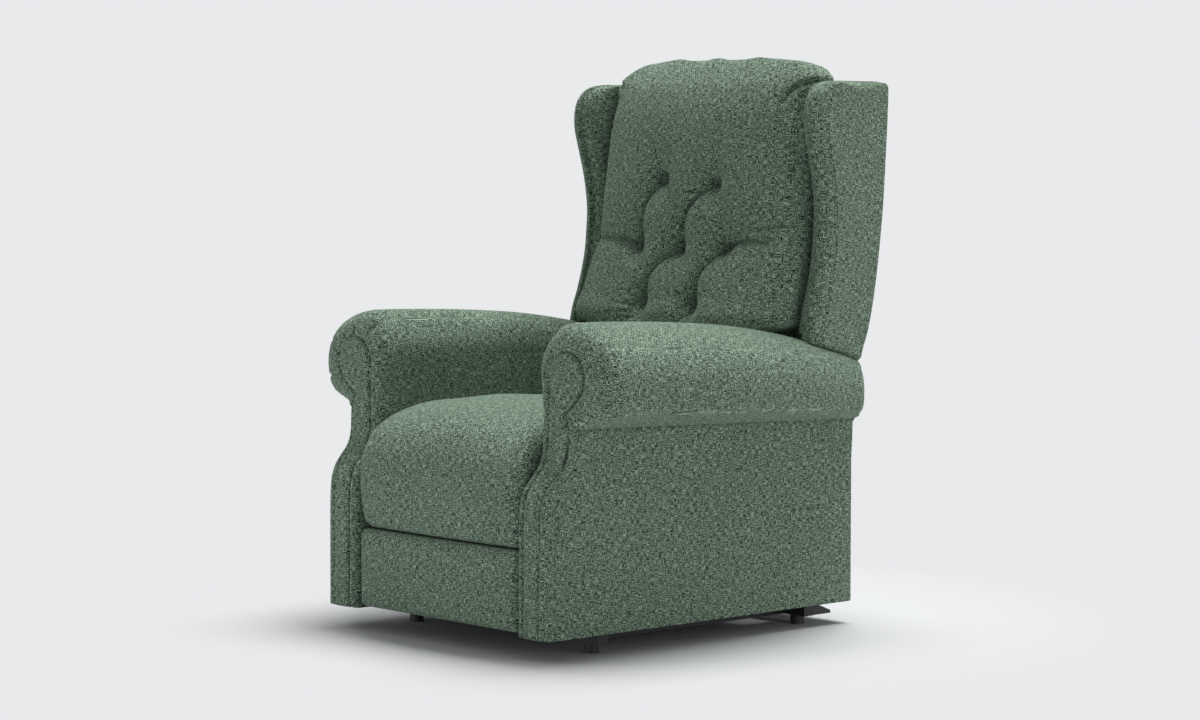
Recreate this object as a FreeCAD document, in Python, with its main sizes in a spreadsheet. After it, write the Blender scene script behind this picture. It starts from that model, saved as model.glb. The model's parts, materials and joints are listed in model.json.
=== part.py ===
import FreeCAD, Part
import math
import os
import re
from types import SimpleNamespace
import Sketcher

# Lift recliner with scroll arms, wings and a tufted back, standing on a steel lift base.
# Millimetres. The front faces -Y, +X is the sitter's left, +Z is up and the floor is at Z = 0.
# A setback is a distance behind the front plane of the arms.

Vector = FreeCAD.Vector
SIZES = [
    ("chair_depth", 930, "front plane of the arms to the rear of the wings"),
    ("panel_depth", 830, "depth of a side panel"),
    ("panel_underside", 45, "height of the side panels above the floor"),
    ("seat_width", 500, "between the arms"),
    ("arm_thickness", 85, "side panel, inner to outer face"),
    ("roll_overhang", 115, "arm roll beyond the side panel"),
    ("roll_fall", 95, "drop of the roll's crest towards the rear"),
    ("seam_height", 442, "seam under the roll at the front"),
    ("roll_height", 199, "crest of the arm roll above that seam at the front"),
    ("seam_fall", 23, "drop of that seam towards the rear"),
    ("arm_setback", 60, "upper front of the arm behind its lower front"),
    ("knee_height", 270, "where the arm's front starts to curve back"),
    ("scroll_radius", 51, "round facing on the arm's front"),
    ("scroll_rise", 100, "centre of that facing above the seam"),
    ("facing_thickness", 8, "padded facing"),
    ("foot_height", 18, "levelling feet under the base"),
    ("foot_diameter", 29, "levelling foot"),
    ("foot_spacing", 540, "between the feet, left to right"),
    ("tube_size", 27, "square tube of the base"),
    ("tube_wall", 2, "wall of the steel tubes"),
    ("crossbar_length", 600, "front and rear crossbar"),
    ("front_bar_setback", 162, "front face of the front crossbar"),
    ("rear_bar_setback", 725, "front face of the rear crossbar"),
    ("rail_offset", 231, "middle of a base side rail from the centre plane"),
    ("rear_plate_reach", 52, "tapered foot plate behind the rear crossbar"),
    ("plate_thickness", 5, "steel plates"),
    ("link_thickness", 6, "lift links"),
    ("link_width", 28, "lift links"),
    ("link_gap", 2, "side gap between steel plates and links"),
    ("lift_pin", 10, "diameter of the lift pivots"),
    ("running_clearance", 0.08, "radial, pin in a turning hole"),
    ("open_clearance", 1.9, "radial, front lift link at its upper pivot"),
    ("front_pivot_setback", 218.8, "front lift link, lower pivot"),
    ("front_pivot_height", 73.4, "front lift link, lower pivot"),
    ("front_knuckle_setback", 452.7, "front lift link, upper pivot"),
    ("front_knuckle_height", 93.2, "front lift link, upper pivot"),
    ("rear_pivot_setback", 302.3, "rear lift link, lower pivot"),
    ("rear_pivot_height", 86.3, "rear lift link, lower pivot"),
    ("rear_knuckle_setback", 722.3, "rear lift link, upper pivot"),
    ("rear_knuckle_height", 123.9, "rear lift link, upper pivot"),
    ("hinge_setback", 720, "back hinge"),
    ("hinge_height", 310, "back hinge"),
    ("cross_tube", 25, "round cross tubes of the seat mechanism"),
    ("front_tube_setback", 300, "front cross tube"),
    ("front_tube_height", 255, "front cross tube"),
    ("mid_tube_setback", 485, "middle cross tube"),
    ("mid_tube_height", 290, "middle cross tube"),
    ("rail_depth", 25, "timber seat rails"),
    ("front_rail_setback", 45, "front face of the front seat rail"),
    ("front_rail_underside", 225, "front seat rail"),
    ("rear_rail_setback", 640, "front face of the rear seat rail"),
    ("side_rail_height", 25, "side seat rails"),
    ("seat_deck", 343, "top of the seat rails"),
    ("webbing_thickness", 3, "elastic webbing"),
    ("webbing_width", 60, "elastic webbing"),
    ("soft_clearance", 0.4, "between a soft form and its neighbours"),
    ("cushion_side_height", 455, "seat cushion's top beside the arms"),
    ("cushion_crown", 22, "rise of the seat cushion in the middle"),
    ("seat_gap_height", 211, "line between seat cushion and footrest"),
    ("valance_top", 300, "rear valance"),
    ("valance_thickness", 10, "rear valance"),
    ("footrest_width", 490, "footrest panel"),
    ("footrest_top", 206, "footrest panel"),
    ("footrest_underside", 50, "footrest panel"),
    ("board_setback", 22, "front face of the footrest board"),
    ("board_thickness", 14, "footrest board"),
    ("footrest_pin", 8, "diameter of the footrest pivots"),
    ("bar_width", 18, "footrest links"),
    ("bearing_plate_offset", 200, "inner face of the footrest bearing plates"),
    ("swing_length", 105, "footrest swing links"),
    ("swing_start", -35, "angle of the swing links at rest"),
    ("swing_pivot_setback", 150, "rear swing link on the bearing plate"),
    ("swing_pivot_height", 185, "rear swing link on the bearing plate"),
    ("swing_spread", 59.5, "between the two swing links"),
    ("carrier_slope", 19.65, "carrier bars below level"),
    ("carrier_reach", 180.5, "carrier bar from the first swing link to the panel pivot"),
    ("torque_tube", 22, "footrest torque tube"),
    ("back_foot_height", 460, "bottom of the back's timber frame"),
    ("back_foot_inset", 109.7, "rear of the timber frame at that height, ahead of the wings' rear"),
    ("back_lean", 8.5, "lean of the back"),
    ("back_height", 1152, "top of the back cushion"),
    ("stile_width", 35, "back stiles"),
    ("frame_depth", 36, "back frame timber"),
    ("stile_length", 540, "back stiles along the lean"),
    ("top_rail_height", 50, "back top rail"),
    ("bottom_rail_height", 45, "back bottom rail"),
    ("outside_thickness", 14, "outside back panel"),
    ("outside_top", 1100, "outside back panel"),
    ("wing_thickness", 60, "wings"),
    ("wing_offset", 285, "inner face of a wing at the rear"),
    ("wing_flare", 7, "wings turn outwards"),
    ("wing_top", 1105, "wings"),
    ("wing_round", 13, "rounded edges of the wings"),
    ("wing_clearance", 10, "wing above the arm roll"),
    ("tuft_depth", 60, "depth of the hollow that shapes a tuft"),
    ("tuft_width", 190, "width of that hollow"),
    ("tuft_height", 300, "height of that hollow"),
    ("lift_motor_offset", -55, "lift actuator from the centre plane"),
    ("lift_tail_setback", 226.2, "lift actuator, lower pivot"),
    ("lift_tail_height", 110.7, "lift actuator, lower pivot"),
    ("lift_eye_setback", 449.9, "lift actuator, upper pivot"),
    ("lift_eye_height", 280.2, "lift actuator, upper pivot"),
    ("recline_motor_offset", 65, "recline actuator from the centre plane"),
    ("recline_tail_setback", 335, "recline actuator, front pivot"),
    ("lever_length", 75, "back hinge to the recline actuator"),
    ("lever_angle", 19, "recline lever behind the vertical"),
    ("lever_slot", 6, "travel of the pin along the lever"),
    ("actuator_pin", 10, "diameter of the actuator pins"),
    ("actuator_tube", 36, "outer tube of an actuator"),
    ("actuator_rod", 20, "rod of an actuator"),
    ("gear_case_start", 14, "tail pivot to the gear case"),
    ("gear_case_length", 56, "gear case along the actuator"),
    ("gear_case_depth", 52, "gear case in the side view"),
    ("gear_case_width", 40, "gear case across the chair"),
    ("motor_length", 78, "motor beside the gear case"),
    ("motor_diameter", 42, "motor"),
    ("eye_clearance", 0.6, "radial, lift actuator's eye on its pin"),
]

doc = FreeCAD.newDocument("lift_recliner")
sheet = doc.addObject("Spreadsheet::Sheet", "sizes")
for row, (alias, number, meaning) in enumerate(SIZES, 1):
    sheet.set("A%d" % row, meaning)
    sheet.set("B%d" % row, str(number))
    sheet.setAlias("B%d" % row, alias)
doc.recompute()
s = SimpleNamespace(**{alias: float(sheet.get(alias)) for alias, number, meaning in SIZES})
front = -s.chair_depth / 2
FRONT = "-sizes.chair_depth / 2"
nodes = []


def linked(text):
    """An expression in which every size is looked up in the sheet."""
    known = {alias for alias, number, meaning in SIZES}
    return re.sub(r"[a-z_]+", lambda word: "sizes." + word[0] if word[0] in known else word[0], text)


def bind(item, **expressions):
    """Tie properties to the sheet: X, Y and Z stand for the placement's base."""
    paths = {"X": "Placement.Base.x", "Y": "Placement.Base.y", "Z": "Placement.Base.z"}
    for key, text in expressions.items():
        item.setExpression(paths.get(key, key), linked(text))


def setback(text):
    return "- chair_depth / 2 + " + text


def node(label, item):
    item.Label = label
    nodes.append(item)
    return item


def box(name, length, width, height, x, y, z):
    item = doc.addObject("Part::Box", name)
    bind(item, Length=length, Width=width, Height=height, X=x, Y=y, Z=z)
    return item


def rod_x(name, radius, length, x, y, z):
    """A cylinder along +X."""
    item = doc.addObject("Part::Cylinder", name)
    item.Placement = FreeCAD.Placement(Vector(), FreeCAD.Rotation(Vector(0, 1, 0), 90))
    bind(item, Radius=radius, Height=length, X=x, Y=y, Z=z)
    return item


def cut(name, base, tool):
    item = doc.addObject("Part::Cut", name)
    item.Base, item.Tool = base, tool
    return item


def fuse(name, *shapes):
    item = doc.addObject("Part::MultiFuse", name)
    item.Shapes = list(shapes)
    return item


def group(name, *shapes):
    item = doc.addObject("Part::Compound", name)
    item.Links = list(shapes)
    return item


def mirrored(source):
    item = doc.addObject("Part::Mirroring", source.Name + "_right")
    item.Source, item.Normal = source, Vector(1, 0, 0)
    return item


def pair(label, *left):
    """Left and right copies of the given pieces in one node."""
    return node(label, group(label, *left, *[mirrored(item) for item in left]))


def solid(label, shape):
    """A form made from this script's own lofts."""
    item = doc.addObject("Part::Feature", label)
    item.Shape = shape
    return node(label, item)


def origin_plane(body, role):
    return next(item for item in body.Origin.OriginFeatures if item.Role == role)


def at(back, height, x=0.0):
    return Vector(x, front + back, height)


def add_path(sketch, path):
    """Lines and three-point arcs through (setback, height) pairs; a pair of pairs is an arc's middle and end."""
    here = Vector(front + path[0][0], path[0][1], 0)
    for step in path[1:]:
        if isinstance(step[0], tuple):
            middle, end = [Vector(front + back, height, 0) for back, height in step]
            sketch.addGeometry(Part.Arc(here, middle, end), False)
        else:
            end = Vector(front + step[0], step[1], 0)
            sketch.addGeometry(Part.LineSegment(here, end), False)
        here = end


def plate(name, path, thickness, x, holes=()):
    """A profile in the side view, given as setbacks and heights, padded along +X from x."""
    body = doc.addObject("PartDesign::Body", name)
    sketch = body.newObject("Sketcher::SketchObject", name + "_profile")
    sketch.AttachmentSupport = (origin_plane(body, "YZ_Plane"), [""])
    sketch.MapMode = "FlatFace"
    add_path(sketch, path)
    for back, height, radius in holes:
        centre = Vector(front + back, height, 0)
        sketch.addGeometry(Part.Circle(centre, Vector(0, 0, 1), radius), False)
    pad = body.newObject("PartDesign::Pad", name + "_pad")
    pad.Profile = sketch
    bind(pad, Length=thickness)
    bind(body, X=x)
    return body


def link(name, length, width, holes, thickness, x, back, height, angle, slot=None):
    """A bar with clipped corners and a hole at each (distance, diameter), laid from a pivot at an angle."""
    body = doc.addObject("PartDesign::Body", name)
    sketch = body.newObject("Sketcher::SketchObject", name + "_outline")
    sketch.AttachmentSupport = (origin_plane(body, "XY_Plane"), [""])
    sketch.MapMode = "FlatFace"
    half, up = width / 2, Vector(0, 0, 1)
    short = half * math.tan(math.radians(22.5))
    corners = [(-half, -short), (-short, -half), (length + short, -half), (length + half, -short),
               (length + half, short), (length + short, half), (-short, half), (-half, short)]
    for begin, finish in zip(corners, corners[1:] + corners[:1]):
        sketch.addGeometry(Part.LineSegment(Vector(*begin, 0), Vector(*finish, 0)), False)
    for distance, diameter in holes:
        sketch.addGeometry(Part.Circle(Vector(distance, 0, 0), up, diameter / 2), False)
    if slot:
        near, distant, radius = slot
        left, right = Vector(near, 0, 0), Vector(distant, 0, 0)
        quarter = math.pi / 2
        sketch.addGeometry(Part.ArcOfCircle(Part.Circle(left, up, radius), quarter, 3 * quarter), False)
        sketch.addGeometry(Part.LineSegment(Vector(near, -radius, 0), Vector(distant, -radius, 0)), False)
        sketch.addGeometry(Part.ArcOfCircle(Part.Circle(right, up, radius), -quarter, quarter), False)
        sketch.addGeometry(Part.LineSegment(Vector(distant, radius, 0), Vector(near, radius, 0)), False)
    pad = body.newObject("PartDesign::Pad", name + "_pad")
    pad.Profile = sketch
    bind(pad, Length=thickness)
    turn = FreeCAD.Rotation(Vector(1, 0, 0), angle) * FreeCAD.Rotation(Vector(1, 1, 1), 120)
    body.Placement = FreeCAD.Placement(Vector(x, front + back, height), turn)
    return body


def pin(name, diameter, start, end, back, height):
    """A pin along X from start out to end."""
    return rod_x(name, diameter + " / 2", "( %s ) - ( %s )" % (end, start), start, setback(back), height)


def polar(length, angle):
    return length * math.cos(math.radians(angle)), length * math.sin(math.radians(angle))


# Planes of the steel parts, from the arms inwards
half_seat = s.seat_width / 2
plate_face = half_seat - s.plate_thickness
front_link_face = plate_face - 1.5 * s.link_gap - s.link_thickness
ear_face = front_link_face - s.link_gap - s.plate_thickness
rear_link_face = ear_face - s.link_gap - s.link_thickness
PLATE = "seat_width / 2 - plate_thickness"
FRONT_LINK = PLATE + " - 1.5 * link_gap - link_thickness"
EAR = FRONT_LINK + " - link_gap - plate_thickness"
REAR_LINK = EAR + " - link_gap - link_thickness"
STILE_OUTER = PLATE + " - link_gap - plate_thickness"
FLOOR_TUBE_TOP = s.foot_height + s.tube_size


# Base: crossbars, side rails, end caps, foot plates and feet
def square_tube(name, length, x, y, z, along_x=True):
    """A square tube along X or Y."""
    inner = "tube_size - 2 * tube_wall"
    if along_x:
        outer_box = box(name + "_outer", length, "tube_size", "tube_size", x, y, z)
        inner_box = box(name + "_bore", length, inner, inner, x, y + " + tube_wall", z + " + tube_wall")
    else:
        outer_box = box(name + "_outer", "tube_size", length, "tube_size", x, y, z)
        inner_box = box(name + "_bore", inner, length, inner, x + " + tube_wall", y, z + " + tube_wall")
    return cut(name, outer_box, inner_box)


for end_name, place in (("front", "front_bar_setback"), ("rear", "rear_bar_setback")):
    label = "base_%s_crossbar" % end_name
    node(label, square_tube(label, "crossbar_length", "- crossbar_length / 2", setback(place), "foot_height"))

pair("base_side_rails", square_tube(
    "base_side_rail", "rear_bar_setback - front_bar_setback - tube_size",
    "rail_offset - tube_size / 2", setback("front_bar_setback + tube_size"), "foot_height", False))

caps = []
for end_name, place in (("front", "front_bar_setback"), ("rear", "rear_bar_setback")):
    caps.append(box("crossbar_cap_" + end_name, "3", "tube_size", "tube_size",
                    "crossbar_length / 2", setback(place), "foot_height"))
pair("crossbar_end_caps", *caps)

rear_of_bar = s.rear_bar_setback + s.tube_size
pair("rear_foot_plates", plate(
    "rear_foot_plate",
    [(rear_of_bar, s.foot_height), (rear_of_bar + s.rear_plate_reach, s.foot_height),
     (rear_of_bar + s.rear_plate_reach, s.foot_height + 6), (rear_of_bar, FLOOR_TUBE_TOP),
     (rear_of_bar, s.foot_height)],
    "plate_thickness", "crossbar_length / 2 - plate_thickness"))


def foot(name, place):
    item = doc.addObject("Part::Cylinder", name)
    bind(item, Radius="foot_diameter / 2", Height="foot_height", X="foot_spacing / 2",
         Y=setback(place + " + tube_size / 2"))
    return item


pair("levelling_feet", foot("front_foot", "front_bar_setback"), foot("rear_foot", "rear_bar_setback"))

ear_width = s.link_width / 2
ears = []
for name, back, height in (("front_ear", s.front_pivot_setback, s.front_pivot_height),
                           ("rear_ear", s.rear_pivot_setback, s.rear_pivot_height)):
    ears.append(plate(
        name,
        [(back - 24, FLOOR_TUBE_TOP), (back + 24, FLOOR_TUBE_TOP), (back + ear_width, height),
         ((back, height + ear_width), (back - ear_width, height)), (back - 24, FLOOR_TUBE_TOP)],
        "plate_thickness", EAR))
pair("base_link_ears", *ears)

# Each pivot pin is welded to the face of the plate that carries it
base_pins = [
    pin("front_lower_pin", "lift_pin", EAR + " + plate_thickness",
        FRONT_LINK + " + link_thickness + link_gap / 2", "front_pivot_setback", "front_pivot_height"),
    pin("rear_lower_pin", "lift_pin", REAR_LINK + " - link_gap / 2", EAR,
        "rear_pivot_setback", "rear_pivot_height"),
]
lift_tail_pin = pin("lift_tail_pin", "actuator_pin", "lift_motor_offset - actuator_pin",
                    "lift_motor_offset + actuator_pin", "lift_tail_setback", "lift_tail_height")
node("base_pivot_pins", group("base_pivot_pins", *base_pins, *map(mirrored, base_pins), lift_tail_pin))

# Clevis for the lift actuator's tail, on the front crossbar
bar_rear = s.front_bar_setback + s.tube_size
cheeks = []
for side in (-1, 1):
    cheek = plate(
        "lift_cheek_" + ("left" if side > 0 else "right"),
        [(bar_rear - 20, FLOOR_TUBE_TOP), (bar_rear, FLOOR_TUBE_TOP), (bar_rear, s.foot_height),
         (bar_rear + 30, s.foot_height + 12),
         (s.lift_tail_setback + 14, s.lift_tail_height), ((s.lift_tail_setback, s.lift_tail_height + 14),
         (s.lift_tail_setback - 14, s.lift_tail_height)), (bar_rear - 20, FLOOR_TUBE_TOP)],
        "plate_thickness",
        "lift_motor_offset + actuator_pin" if side > 0 else "lift_motor_offset - actuator_pin - plate_thickness")
    cheeks.append(cheek)
node("lift_clevis", group("lift_clevis", *cheeks))


# Lift links: the rear pair carries the seat, the front pair sets its tilt
def reach(start_back, start_height, end_back, end_height):
    run, rise = end_back - start_back, end_height - start_height
    return math.hypot(run, rise), math.degrees(math.atan2(rise, run))


turning_hole = s.lift_pin + 2 * s.running_clearance
open_hole = s.lift_pin + 2 * s.open_clearance
rear_length, rear_angle = reach(s.rear_pivot_setback, s.rear_pivot_height,
                                s.rear_knuckle_setback, s.rear_knuckle_height)
front_length, front_angle = reach(s.front_pivot_setback, s.front_pivot_height,
                                  s.front_knuckle_setback, s.front_knuckle_height)
pair("rear_lift_links", link(
    "rear_lift_link", rear_length, s.link_width, [(0, turning_hole), (rear_length, turning_hole)],
    "link_thickness", rear_link_face, s.rear_pivot_setback, s.rear_pivot_height, rear_angle))
pair("front_lift_links", link(
    "front_lift_link", front_length, s.link_width, [(0, turning_hole), (front_length, open_hole)],
    "link_thickness", front_link_face, s.front_pivot_setback, s.front_pivot_height, front_angle))

# Seat mechanism: side plates, cross tubes and their pivots
boss = s.link_width * 0.65
fork = s.front_knuckle_setback
knuckle = s.rear_knuckle_setback
plate_top = s.seat_deck - 5
belly = s.front_rail_underside
rail_rear = s.front_rail_setback + s.rail_depth
side_path = [
    (rail_rear, plate_top), (s.hinge_setback + 25, plate_top), (s.hinge_setback + 25, s.hinge_height - 25),
    (knuckle + boss, s.rear_knuckle_height),
    ((knuckle, s.rear_knuckle_height - boss), (knuckle - boss, s.rear_knuckle_height)),
    (knuckle - 45, belly), (fork + 50, belly), (fork + boss, s.front_knuckle_height),
    ((fork, s.front_knuckle_height - boss), (fork - boss, s.front_knuckle_height)),
    (fork - 40, belly), (rail_rear + 30, belly), (rail_rear, belly + 30), (rail_rear, plate_top)]
for side, x in (("left", PLATE), ("right", "- seat_width / 2")):
    label = side + "_mechanism_plate"
    node(label, plate(label, side_path, "plate_thickness", x))

pair("seat_link_pins",
     pin("front_upper_pin", "lift_pin", FRONT_LINK + " - link_gap / 4", PLATE,
         "front_knuckle_setback", "front_knuckle_height"),
     pin("rear_upper_pin", "lift_pin", REAR_LINK + " - link_gap / 4", PLATE,
         "rear_knuckle_setback", "rear_knuckle_height"),
     pin("hinge_pin", "lift_pin", STILE_OUTER + " + soft_clearance", PLATE, "hinge_setback", "hinge_height"))


def cheek_pair(name, middle, eye_back, eye_height, tube_back, tube_height):
    """Two cheeks from a cross tube to a pin, either side of an actuator."""
    radius = s.actuator_pin * 1.2
    away = 1 if tube_back > eye_back else -1
    lug = s.cross_tube * 0.4
    path = [(tube_back, tube_height + lug), (eye_back, eye_height + radius),
            ((eye_back - away * radius, eye_height), (eye_back, eye_height - radius)),
            (tube_back, tube_height - lug), (tube_back, tube_height + lug)]
    inner = plate(name + "_inner", path, "plate_thickness", middle + " - actuator_pin - plate_thickness")
    outer = plate(name + "_outer", path, "plate_thickness", middle + " + actuator_pin")
    return [inner, outer]


def butted(across, *pieces):
    """Plates welded to a round tube: each is cut away where the tube runs."""
    return [cut(piece.Name + "_butted", piece, across) for piece in pieces]


def cross_member(label, back, height, *cheeks_here):
    """A round cross tube between the mechanism plates, with cheeks welded on."""
    across = rod_x(label + "_round", "cross_tube / 2", "seat_width - 2 * plate_thickness",
                   "plate_thickness - seat_width / 2", setback(back), height)
    return node(label, group(label, across, *butted(across, *cheeks_here)))


lever_back, lever_drop = polar(s.lever_length, s.lever_angle - 90)
recline_height = s.hinge_height + lever_drop
recline_eye = s.hinge_setback + lever_back
cross_member("front_cross_tube", "front_tube_setback", "front_tube_height", *cheek_pair(
    "recline_cheek", "recline_motor_offset", s.recline_tail_setback, recline_height,
    s.front_tube_setback, s.front_tube_height))
cross_member("middle_cross_tube", "mid_tube_setback", "mid_tube_height", *cheek_pair(
    "lift_eye_cheek", "lift_motor_offset", s.lift_eye_setback, s.lift_eye_height,
    s.mid_tube_setback, s.mid_tube_height))

# Seat timber and webbing
node("seat_front_rail", box(
    "seat_front_rail", "seat_width", "rail_depth", "seat_deck - front_rail_underside",
    "- seat_width / 2", setback("front_rail_setback"), "front_rail_underside"))
node("seat_rear_rail", box(
    "seat_rear_rail", "seat_width - 2 * plate_thickness", "rail_depth", "2 * side_rail_height",
    "plate_thickness - seat_width / 2", setback("rear_rail_setback"), "seat_deck - 2 * side_rail_height"))
pair("seat_side_rails", box(
    "seat_side_rail", "rail_depth", "rear_rail_setback - front_rail_setback - rail_depth", "side_rail_height",
    PLATE + " - rail_depth", setback("front_rail_setback + rail_depth"), "seat_deck - side_rail_height"))
straps = []
strap_count = 5
strap_pitch = "( seat_width - 40 ) / %d" % strap_count
for index in range(strap_count):
    straps.append(box(
        "seat_strap_%d" % index, "webbing_width", "rear_rail_setback + rail_depth - front_rail_setback",
        "webbing_thickness", "%s * %g - webbing_width / 2" % (strap_pitch, index - (strap_count - 1) / 2),
        setback("front_rail_setback"), "seat_deck"))
node("seat_webbing", group("seat_webbing", *straps))
node("control_box", box(
    "control_box", "70", "90", "45", PLATE + " - rail_depth - 70", setback("rear_rail_setback - 90"),
    "seat_deck - side_rail_height - 20"))


# Soft forms: closed sections of lines and arcs, lofted
def wire(start, steps):
    """Edges from the start point: each step is an end point, or an arc's (middle, end)."""
    here, edges = start, []
    for step in steps:
        if isinstance(step, tuple):
            middle, end = step
            edges.append(Part.Arc(here, middle, end).toShape())
        else:
            end = step
            edges.append(Part.makeLine(here, end))
        here = end
    return Part.Wire(edges)


def loft(sections):
    shape = Part.makeLoft(sections, True, True)
    return shape if shape.Volume > 0 else shape.reversed()


def seam_at(back):
    """Height of the seam under the roll."""
    return s.seam_height - s.seam_fall * (back - s.arm_setback) / (s.panel_depth - s.arm_setback)


def roll_section(back, drop, drawn_in, margin=0.0):
    """The scroll's cross-section: flat inside, crested near the seat and curled under outside."""
    inner = half_seat - margin + drawn_in
    outer = half_seat + s.arm_thickness + s.roll_overhang + margin - drawn_in
    crest = s.seam_height + s.roll_height - drop + margin - drawn_in
    seam = seam_at(back) - margin + drawn_in

    def spot(x, height):
        return at(back, height, x)

    return wire(spot(inner, seam), [
        spot(inner, crest - 66), (spot(inner + 12, crest - 23), spot(inner + 50, crest)),
        spot(outer - 56, crest - 24), (spot(outer - 16, crest - 38), spot(outer, crest - 66)),
        spot(outer, seam + 38), (spot(outer - 10, seam + 15), spot(outer - 44, seam + 12)),
        spot(half_seat + s.arm_thickness - 5, seam), spot(inner, seam)])


def roll_shape(margin=0.0):
    rear = s.panel_depth
    fall = s.roll_fall
    stations = [(s.arm_setback, 0, 10), (s.arm_setback + 16, 0, 0), (rear * 0.45, fall * 0.1, 0),
                (rear * 0.75, fall * 0.42, 0), (rear, fall, 0), (rear + 20, fall, 10)]
    return loft([roll_section(back, drop, drawn_in, margin) for back, drop, drawn_in in stations])


def placed_side(shape, side):
    return shape if side == "left" else shape.mirror(Vector(), Vector(1, 0, 0))


knee = s.knee_height
panel_path = [
    (0, s.panel_underside), (0, knee), ((8, knee + 45), (s.arm_setback / 2, knee + 75)),
    ((s.arm_setback - 8, knee + 105), (s.arm_setback, knee + 150)), (s.arm_setback, s.seam_height),
    (s.panel_depth, s.seam_height - s.seam_fall), (s.panel_depth, s.panel_underside + 30),
    ((s.panel_depth - 9, s.panel_underside + 9), (s.panel_depth - 30, s.panel_underside)),
    (0, s.panel_underside)]
for side in ("left", "right"):
    x = "seat_width / 2" if side == "left" else "- seat_width / 2 - arm_thickness"
    node(side + "_side_panel", plate(side + "_side_panel", panel_path, "arm_thickness", x))

roll = roll_shape()
for side in ("left", "right"):
    solid(side + "_arm_roll", placed_side(roll, side))


def facing_shape():
    """The round scroll and its neck, a padded plate on the arm's front."""
    middle = half_seat + s.arm_thickness
    radius, thick = s.scroll_radius, s.facing_thickness
    neck_low, neck_high = s.seam_height, s.seam_height + s.scroll_rise
    start = at(s.arm_setback - thick, neck_high, middle)
    disc = Part.makeCylinder(radius, thick, start, Vector(0, 1, 0))
    left, right = middle - radius, middle + radius * 0.1
    corners = [at(s.arm_setback - thick, height, x) for x, height in
               ((left, neck_high), (left, neck_low), (right, neck_low), (right + 14, neck_high - radius * 0.8))]
    neck = Part.Face(Part.makePolygon(corners + corners[:1])).extrude(Vector(0, thick, 0))
    return disc.fuse(neck).removeSplitter()


facing = facing_shape()
for side in ("left", "right"):
    solid(side + "_arm_facing", placed_side(facing, side))


def cushion_section(x, rise, bulge):
    """Seat cushion in side view: rounded front hanging over the rail, and a crowned top."""
    low = s.seat_gap_height + s.soft_clearance * 8
    rear_face = s.front_rail_setback - s.soft_clearance
    deck = s.seat_deck + s.webbing_thickness + s.soft_clearance
    top = s.cushion_side_height + rise
    nose = 8 - bulge
    rear_end = s.rear_rail_setback
    return wire(at(rear_face, deck, x), [
        at(rear_face, low, x), at(nose + 18, low, x),
        (at(nose + 5, low + 5, x), at(nose, low + 20, x)), at(nose, top - 90, x),
        (at(nose + 19, top - 38, x), at(nose + 75, top - 14, x)),
        (at(nose + 250, top, x), at(nose + 480, top - 12, x)),
        at(rear_end, top - 50, x), at(rear_end, deck, x), at(rear_face, deck, x)])


half_cushion = half_seat - s.soft_clearance
cushion_stations = [(-1.0, -12, -8), (-0.93, 0, 0), (-0.5, 16, 4), (0.5, 16, 4), (0.93, 0, 0), (1.0, -12, -8)]
solid("seat_cushion", loft([cushion_section(half_cushion * share, rise, bulge)
                            for share, rise, bulge in cushion_stations]))

node("rear_valance", box(
    "rear_valance", "seat_width", "valance_thickness", "valance_top - panel_underside",
    "- seat_width / 2", setback("panel_depth - valance_thickness"), "panel_underside"))

# Footrest: two swing links each side carry a bar, and the panel turns on the bar's end
turning = s.footrest_pin + 2 * s.running_clearance
bearing = s.bearing_plate_offset
swing_plane = bearing - s.link_gap - s.link_thickness
carrier_plane = swing_plane - s.link_gap - s.link_thickness
inner_plane = carrier_plane - s.link_gap - s.link_thickness
SWING = "bearing_plate_offset - link_gap - link_thickness"
CARRIER = SWING + " - link_gap - link_thickness"
INNER = CARRIER + " - link_gap - link_thickness"
spread = polar(s.swing_spread, -s.carrier_slope)
first = (s.swing_pivot_setback, s.swing_pivot_height)
second = (first[0] + spread[0], first[1] + spread[1])
swing = polar(s.swing_length, s.swing_start)
first_end = (first[0] + swing[0], first[1] + swing[1])
second_end = (second[0] + swing[0], second[1] + swing[1])
panel_reach = polar(s.carrier_reach, 180 - s.carrier_slope)
panel_pivot = (first_end[0] + panel_reach[0], first_end[1] + panel_reach[1])

tube_radius = s.cross_tube / 2
bearing_path = [
    (rail_rear, belly + 8), (rail_rear, s.seat_deck - 30), (rail_rear + 45, s.seat_deck - 30),
    (s.front_tube_setback, s.front_tube_height + tube_radius),
    ((s.front_tube_setback - tube_radius, s.front_tube_height),
     (s.front_tube_setback, s.front_tube_height - tube_radius)),
    (second[0] + 16, second[1] - 12), (second[0] - 10, second[1] - 18), (first[0] - 4, first[1] - 18),
    (first[0] - 18, first[1] - 4), (first[0] - 24, first[1] + 30), (rail_rear, belly + 8)]
pair("footrest_bearing_plates", plate(
    "footrest_bearing_plate", bearing_path, "plate_thickness", "bearing_plate_offset"))


def stud(name, start, end, spot):
    """A footrest pivot pin at a (setback, height) spot."""
    item = rod_x(name, "footrest_pin / 2", "( %s ) - ( %s )" % (end, start), start, "0", "0")
    bind(item, Y=setback("%.9g" % spot[0]), Z="%.9g" % spot[1])
    return item


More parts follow.
